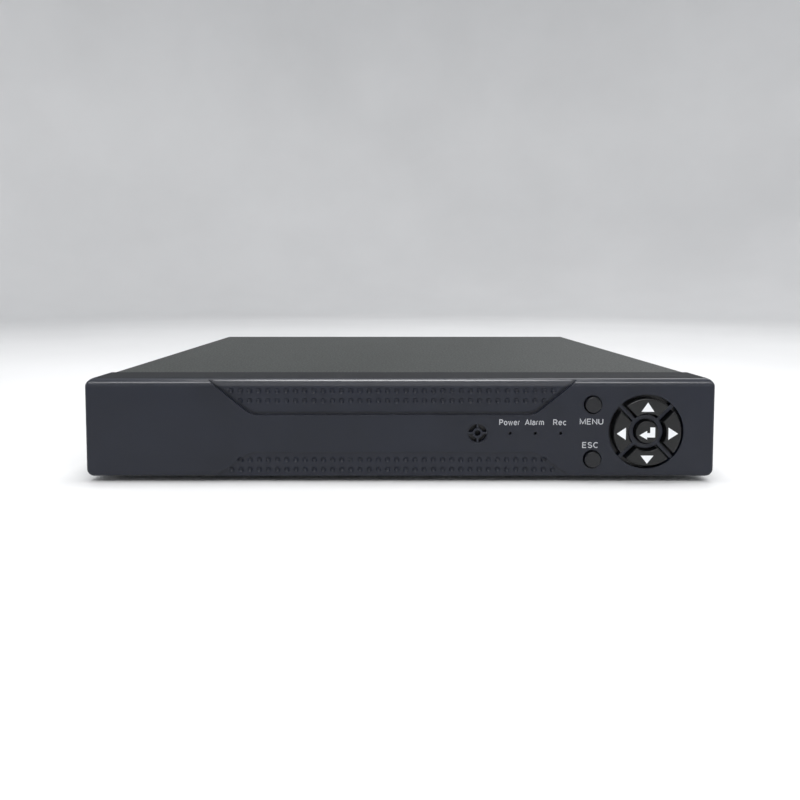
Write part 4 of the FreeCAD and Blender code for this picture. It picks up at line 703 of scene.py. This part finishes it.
STACK_X = 68.9
NETWORK_CONTACTS, NETWORK_PITCH, NETWORK_FLOOR = 8, 1.02, 23.6
SPRING = [(12.4, 0.1), (3.0, 0.1), (9.0, 3.2), (9.3, 3.2), (4.0, 0.4), (12.4, 0.4)]  # depth and rise
USB_TONGUES, USB_CONTACTS, USB_PITCH = (10.2, 18.6), 4, 2.3
VIDEO_X, VIDEO_TONGUE, VIDEO_CONTACTS = 29.9, 8.8, 10

RIM_LINE, RIM_GAP, RIM_RISE = 0.4, 0.05, 0.12
USB_WIDTH, USB_HEIGHT, USB_MIDDLES = 12.8, 5.1, (9.95, 18.35)
SILL_REACH, SILL_MIDDLE = 6.5, 23.35


def camera_threads():
    """Ridges of the thread round each camera socket's neck."""
    ridges = Mesh()
    for x in CAMERA_COLUMNS:
        for z in CAMERA_ROWS:
            for number in range(THREAD_TURNS):
                low = PLATE + (THREAD_START + number * THREAD_PITCH) * MM
                high = low + THREAD_WIDTH * MM
                ridges.spin(rear_point(x, z), [(THREAD_ROOT * MM, low), (THREAD_CREST * MM, (low + high) / 2),
                                               (THREAD_ROOT * MM, high)])
    ridges.build("camera_threads", plated, smooth=True)


def flat_contact(contacts, place, half_width, reach, rise):
    """A flat strip at a place in X and Z: reach is its stretch in Y, and rise its faces below and above."""
    x, z = place
    contacts.block((x - half_width * MM, reach[0], z + rise[0] * MM),
                   (x + half_width * MM, reach[1], z + rise[1] * MM))


def socket_contacts():
    """Spring contacts of the network socket and flat ones of the USB and digital video sockets."""
    contacts = Mesh()
    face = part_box("network_stack_insert")[1].y
    for number in range(NETWORK_CONTACTS):
        middle = (NETWORK_CONTACTS - 1) / 2
        x, floor = rear_point(STACK_X + (number - middle) * NETWORK_PITCH, NETWORK_FLOOR)
        spring = [(face - depth * MM, floor + rise * MM) for depth, rise in SPRING]
        contacts.strip(spring, x - 0.2 * MM, x + 0.2 * MM)
    reach = (face - 11.5 * MM, face - 2.5 * MM)
    for z in USB_TONGUES:
        for number in range(USB_CONTACTS):
            place = rear_point(STACK_X + (number - (USB_CONTACTS - 1) / 2) * USB_PITCH, z)
            flat_contact(contacts, place, 0.5, reach, (-0.06, 0.02))
    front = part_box("hd_video_insert")[1].y
    reach = (front - 5 * MM, front - 0.3 * MM)
    for number in range(VIDEO_CONTACTS):
        x, z = rear_point(VIDEO_X + number - (VIDEO_CONTACTS - 1) / 2, VIDEO_TONGUE)
        flat_contact(contacts, (x, z), 0.2, reach, (-0.05, 0.02))
        flat_contact(contacts, (x + 0.5 * MM, z + 1.0 * MM), 0.2, reach, (-0.02, 0.05))
    contacts.build("socket_contacts", brass)


def stack_rims():
    """Light folded rims round the two USB openings and under the network opening."""
    rims = Mesh()
    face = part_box("network_stack_shield")[1].y
    depths = (face - LIFT, face + RIM_RISE * MM)
    for z in USB_MIDDLES:
        gap = 2 * RIM_GAP
        rim = 2 * (RIM_GAP + RIM_LINE)
        rims.frame(rear_outline(STACK_X, z, USB_WIDTH + rim, USB_HEIGHT + rim, 0.5),
                   rear_outline(STACK_X, z, USB_WIDTH + gap, USB_HEIGHT + gap, 0.3), *depths)
    sill = [rear_point(STACK_X + side * SILL_REACH, SILL_MIDDLE + up * RIM_LINE / 2)
            for side, up in ((-1, -1), (-1, 1), (1, 1), (1, -1))]
    rims.prism(sill, *depths)
    rims.build("stack_rims", plated)


camera_threads()
socket_contacts()
stack_rims()


# ---------------------------------------------------------------- stage, lights and camera

FLOOR_REACH, FLOOR_BEND, WALL_TOP = 1.4, 0.6, 1.6
BEND_STEPS, FLOOR_SIDES = 12, 64
WORLD_COLOR, WORLD_POWER = (0.92, 0.95, 1.0, 1), 0.38

# Each light with its place, its width and height in metres, and its power in watts.
LIGHTS = [("overhead", (0.0, -0.05, 1.2), (0.7, 0.4), 9),
          ("front_softbox", (0.0, -0.85, 0.95), (1.5, 0.2), 8),
          ("rear_fill", (0.7, 1.0, 1.1), (0.8, 0.6), 3)]


def stage_floor():
    """A pale floor that curves up all around into a backdrop."""
    profile = [(FLOOR_REACH, 0.0)]
    for step in range(1, BEND_STEPS + 1):
        angle = math.radians(90 * step / BEND_STEPS)
        height = FLOOR_BEND * (1 - math.cos(angle))
        profile.append((FLOOR_REACH + FLOOR_BEND * math.sin(angle), height))
    profile.append((FLOOR_REACH + FLOOR_BEND, WALL_TOP))
    points = []
    for radius, height in profile:
        for turn in range(FLOOR_SIDES):
            angle = 2 * math.pi * turn / FLOOR_SIDES
            points.append((radius * math.cos(angle), radius * math.sin(angle), height))
    faces = [list(range(FLOOR_SIDES))]
    for level in range(len(profile) - 1):
        for turn in range(FLOOR_SIDES):
            after = (turn + 1) % FLOOR_SIDES
            low, high = level * FLOOR_SIDES, (level + 1) * FLOOR_SIDES
            faces.append([low + turn, high + turn, high + after, low + after])
    mesh = bpy.data.meshes.new("floor")
    mesh.from_pydata(points, [], faces)
    for polygon in mesh.polygons:
        polygon.use_smooth = True
    item = bpy.data.objects.new("floor", mesh)
    bpy.context.scene.collection.objects.link(item)
    look = surface("floor_paint", linear(236, 236, 236), linear(242, 242, 242), (0.6, 0.7), patch=300 * MM,
                   grain=4 * MM, depth=0.01 * MM)
    mesh.materials.append(look.material)


def area_light(name, place, size, power):
    """A rectangular light that faces the object."""
    light = bpy.data.lights.new(name, "AREA")
    light.shape = "RECTANGLE"
    light.size, light.size_y = size
    light.energy = power
    item = bpy.data.objects.new(name, light)
    item.location = place
    item.rotation_euler = (-Vector(place)).to_track_quat("-Z", "Y").to_euler()
    bpy.context.scene.collection.objects.link(item)


def studio_world():
    """A weak, slightly cool light from all around."""
    world = bpy.data.worlds.new("studio")
    world.use_nodes = True
    background = world.node_tree.nodes["Background"]
    background.inputs[0].default_value = WORLD_COLOR
    background.inputs[1].default_value = WORLD_POWER
    bpy.context.scene.world = world
    bpy.context.scene.view_settings.view_transform = "Standard"


def front_camera():
    """The camera in front of the panel, a little above it and tilted down."""
    camera = bpy.data.cameras.new("camera")
    camera.lens = 28.4
    camera.sensor_width = 36
    camera.shift_x = 0.014
    camera.shift_y = -0.1
    camera.clip_start = 0.01
    holder = bpy.data.objects.new("camera", camera)
    holder.location = (-4.5 * MM, FRONT - 252.8 * MM, BASE + 77 * MM)
    holder.rotation_euler = (math.radians(87), 0, 0)
    bpy.context.scene.collection.objects.link(holder)
    bpy.context.scene.camera = holder


stage_floor()
for light in LIGHTS:
    area_light(*light)
studio_world()
front_camera()
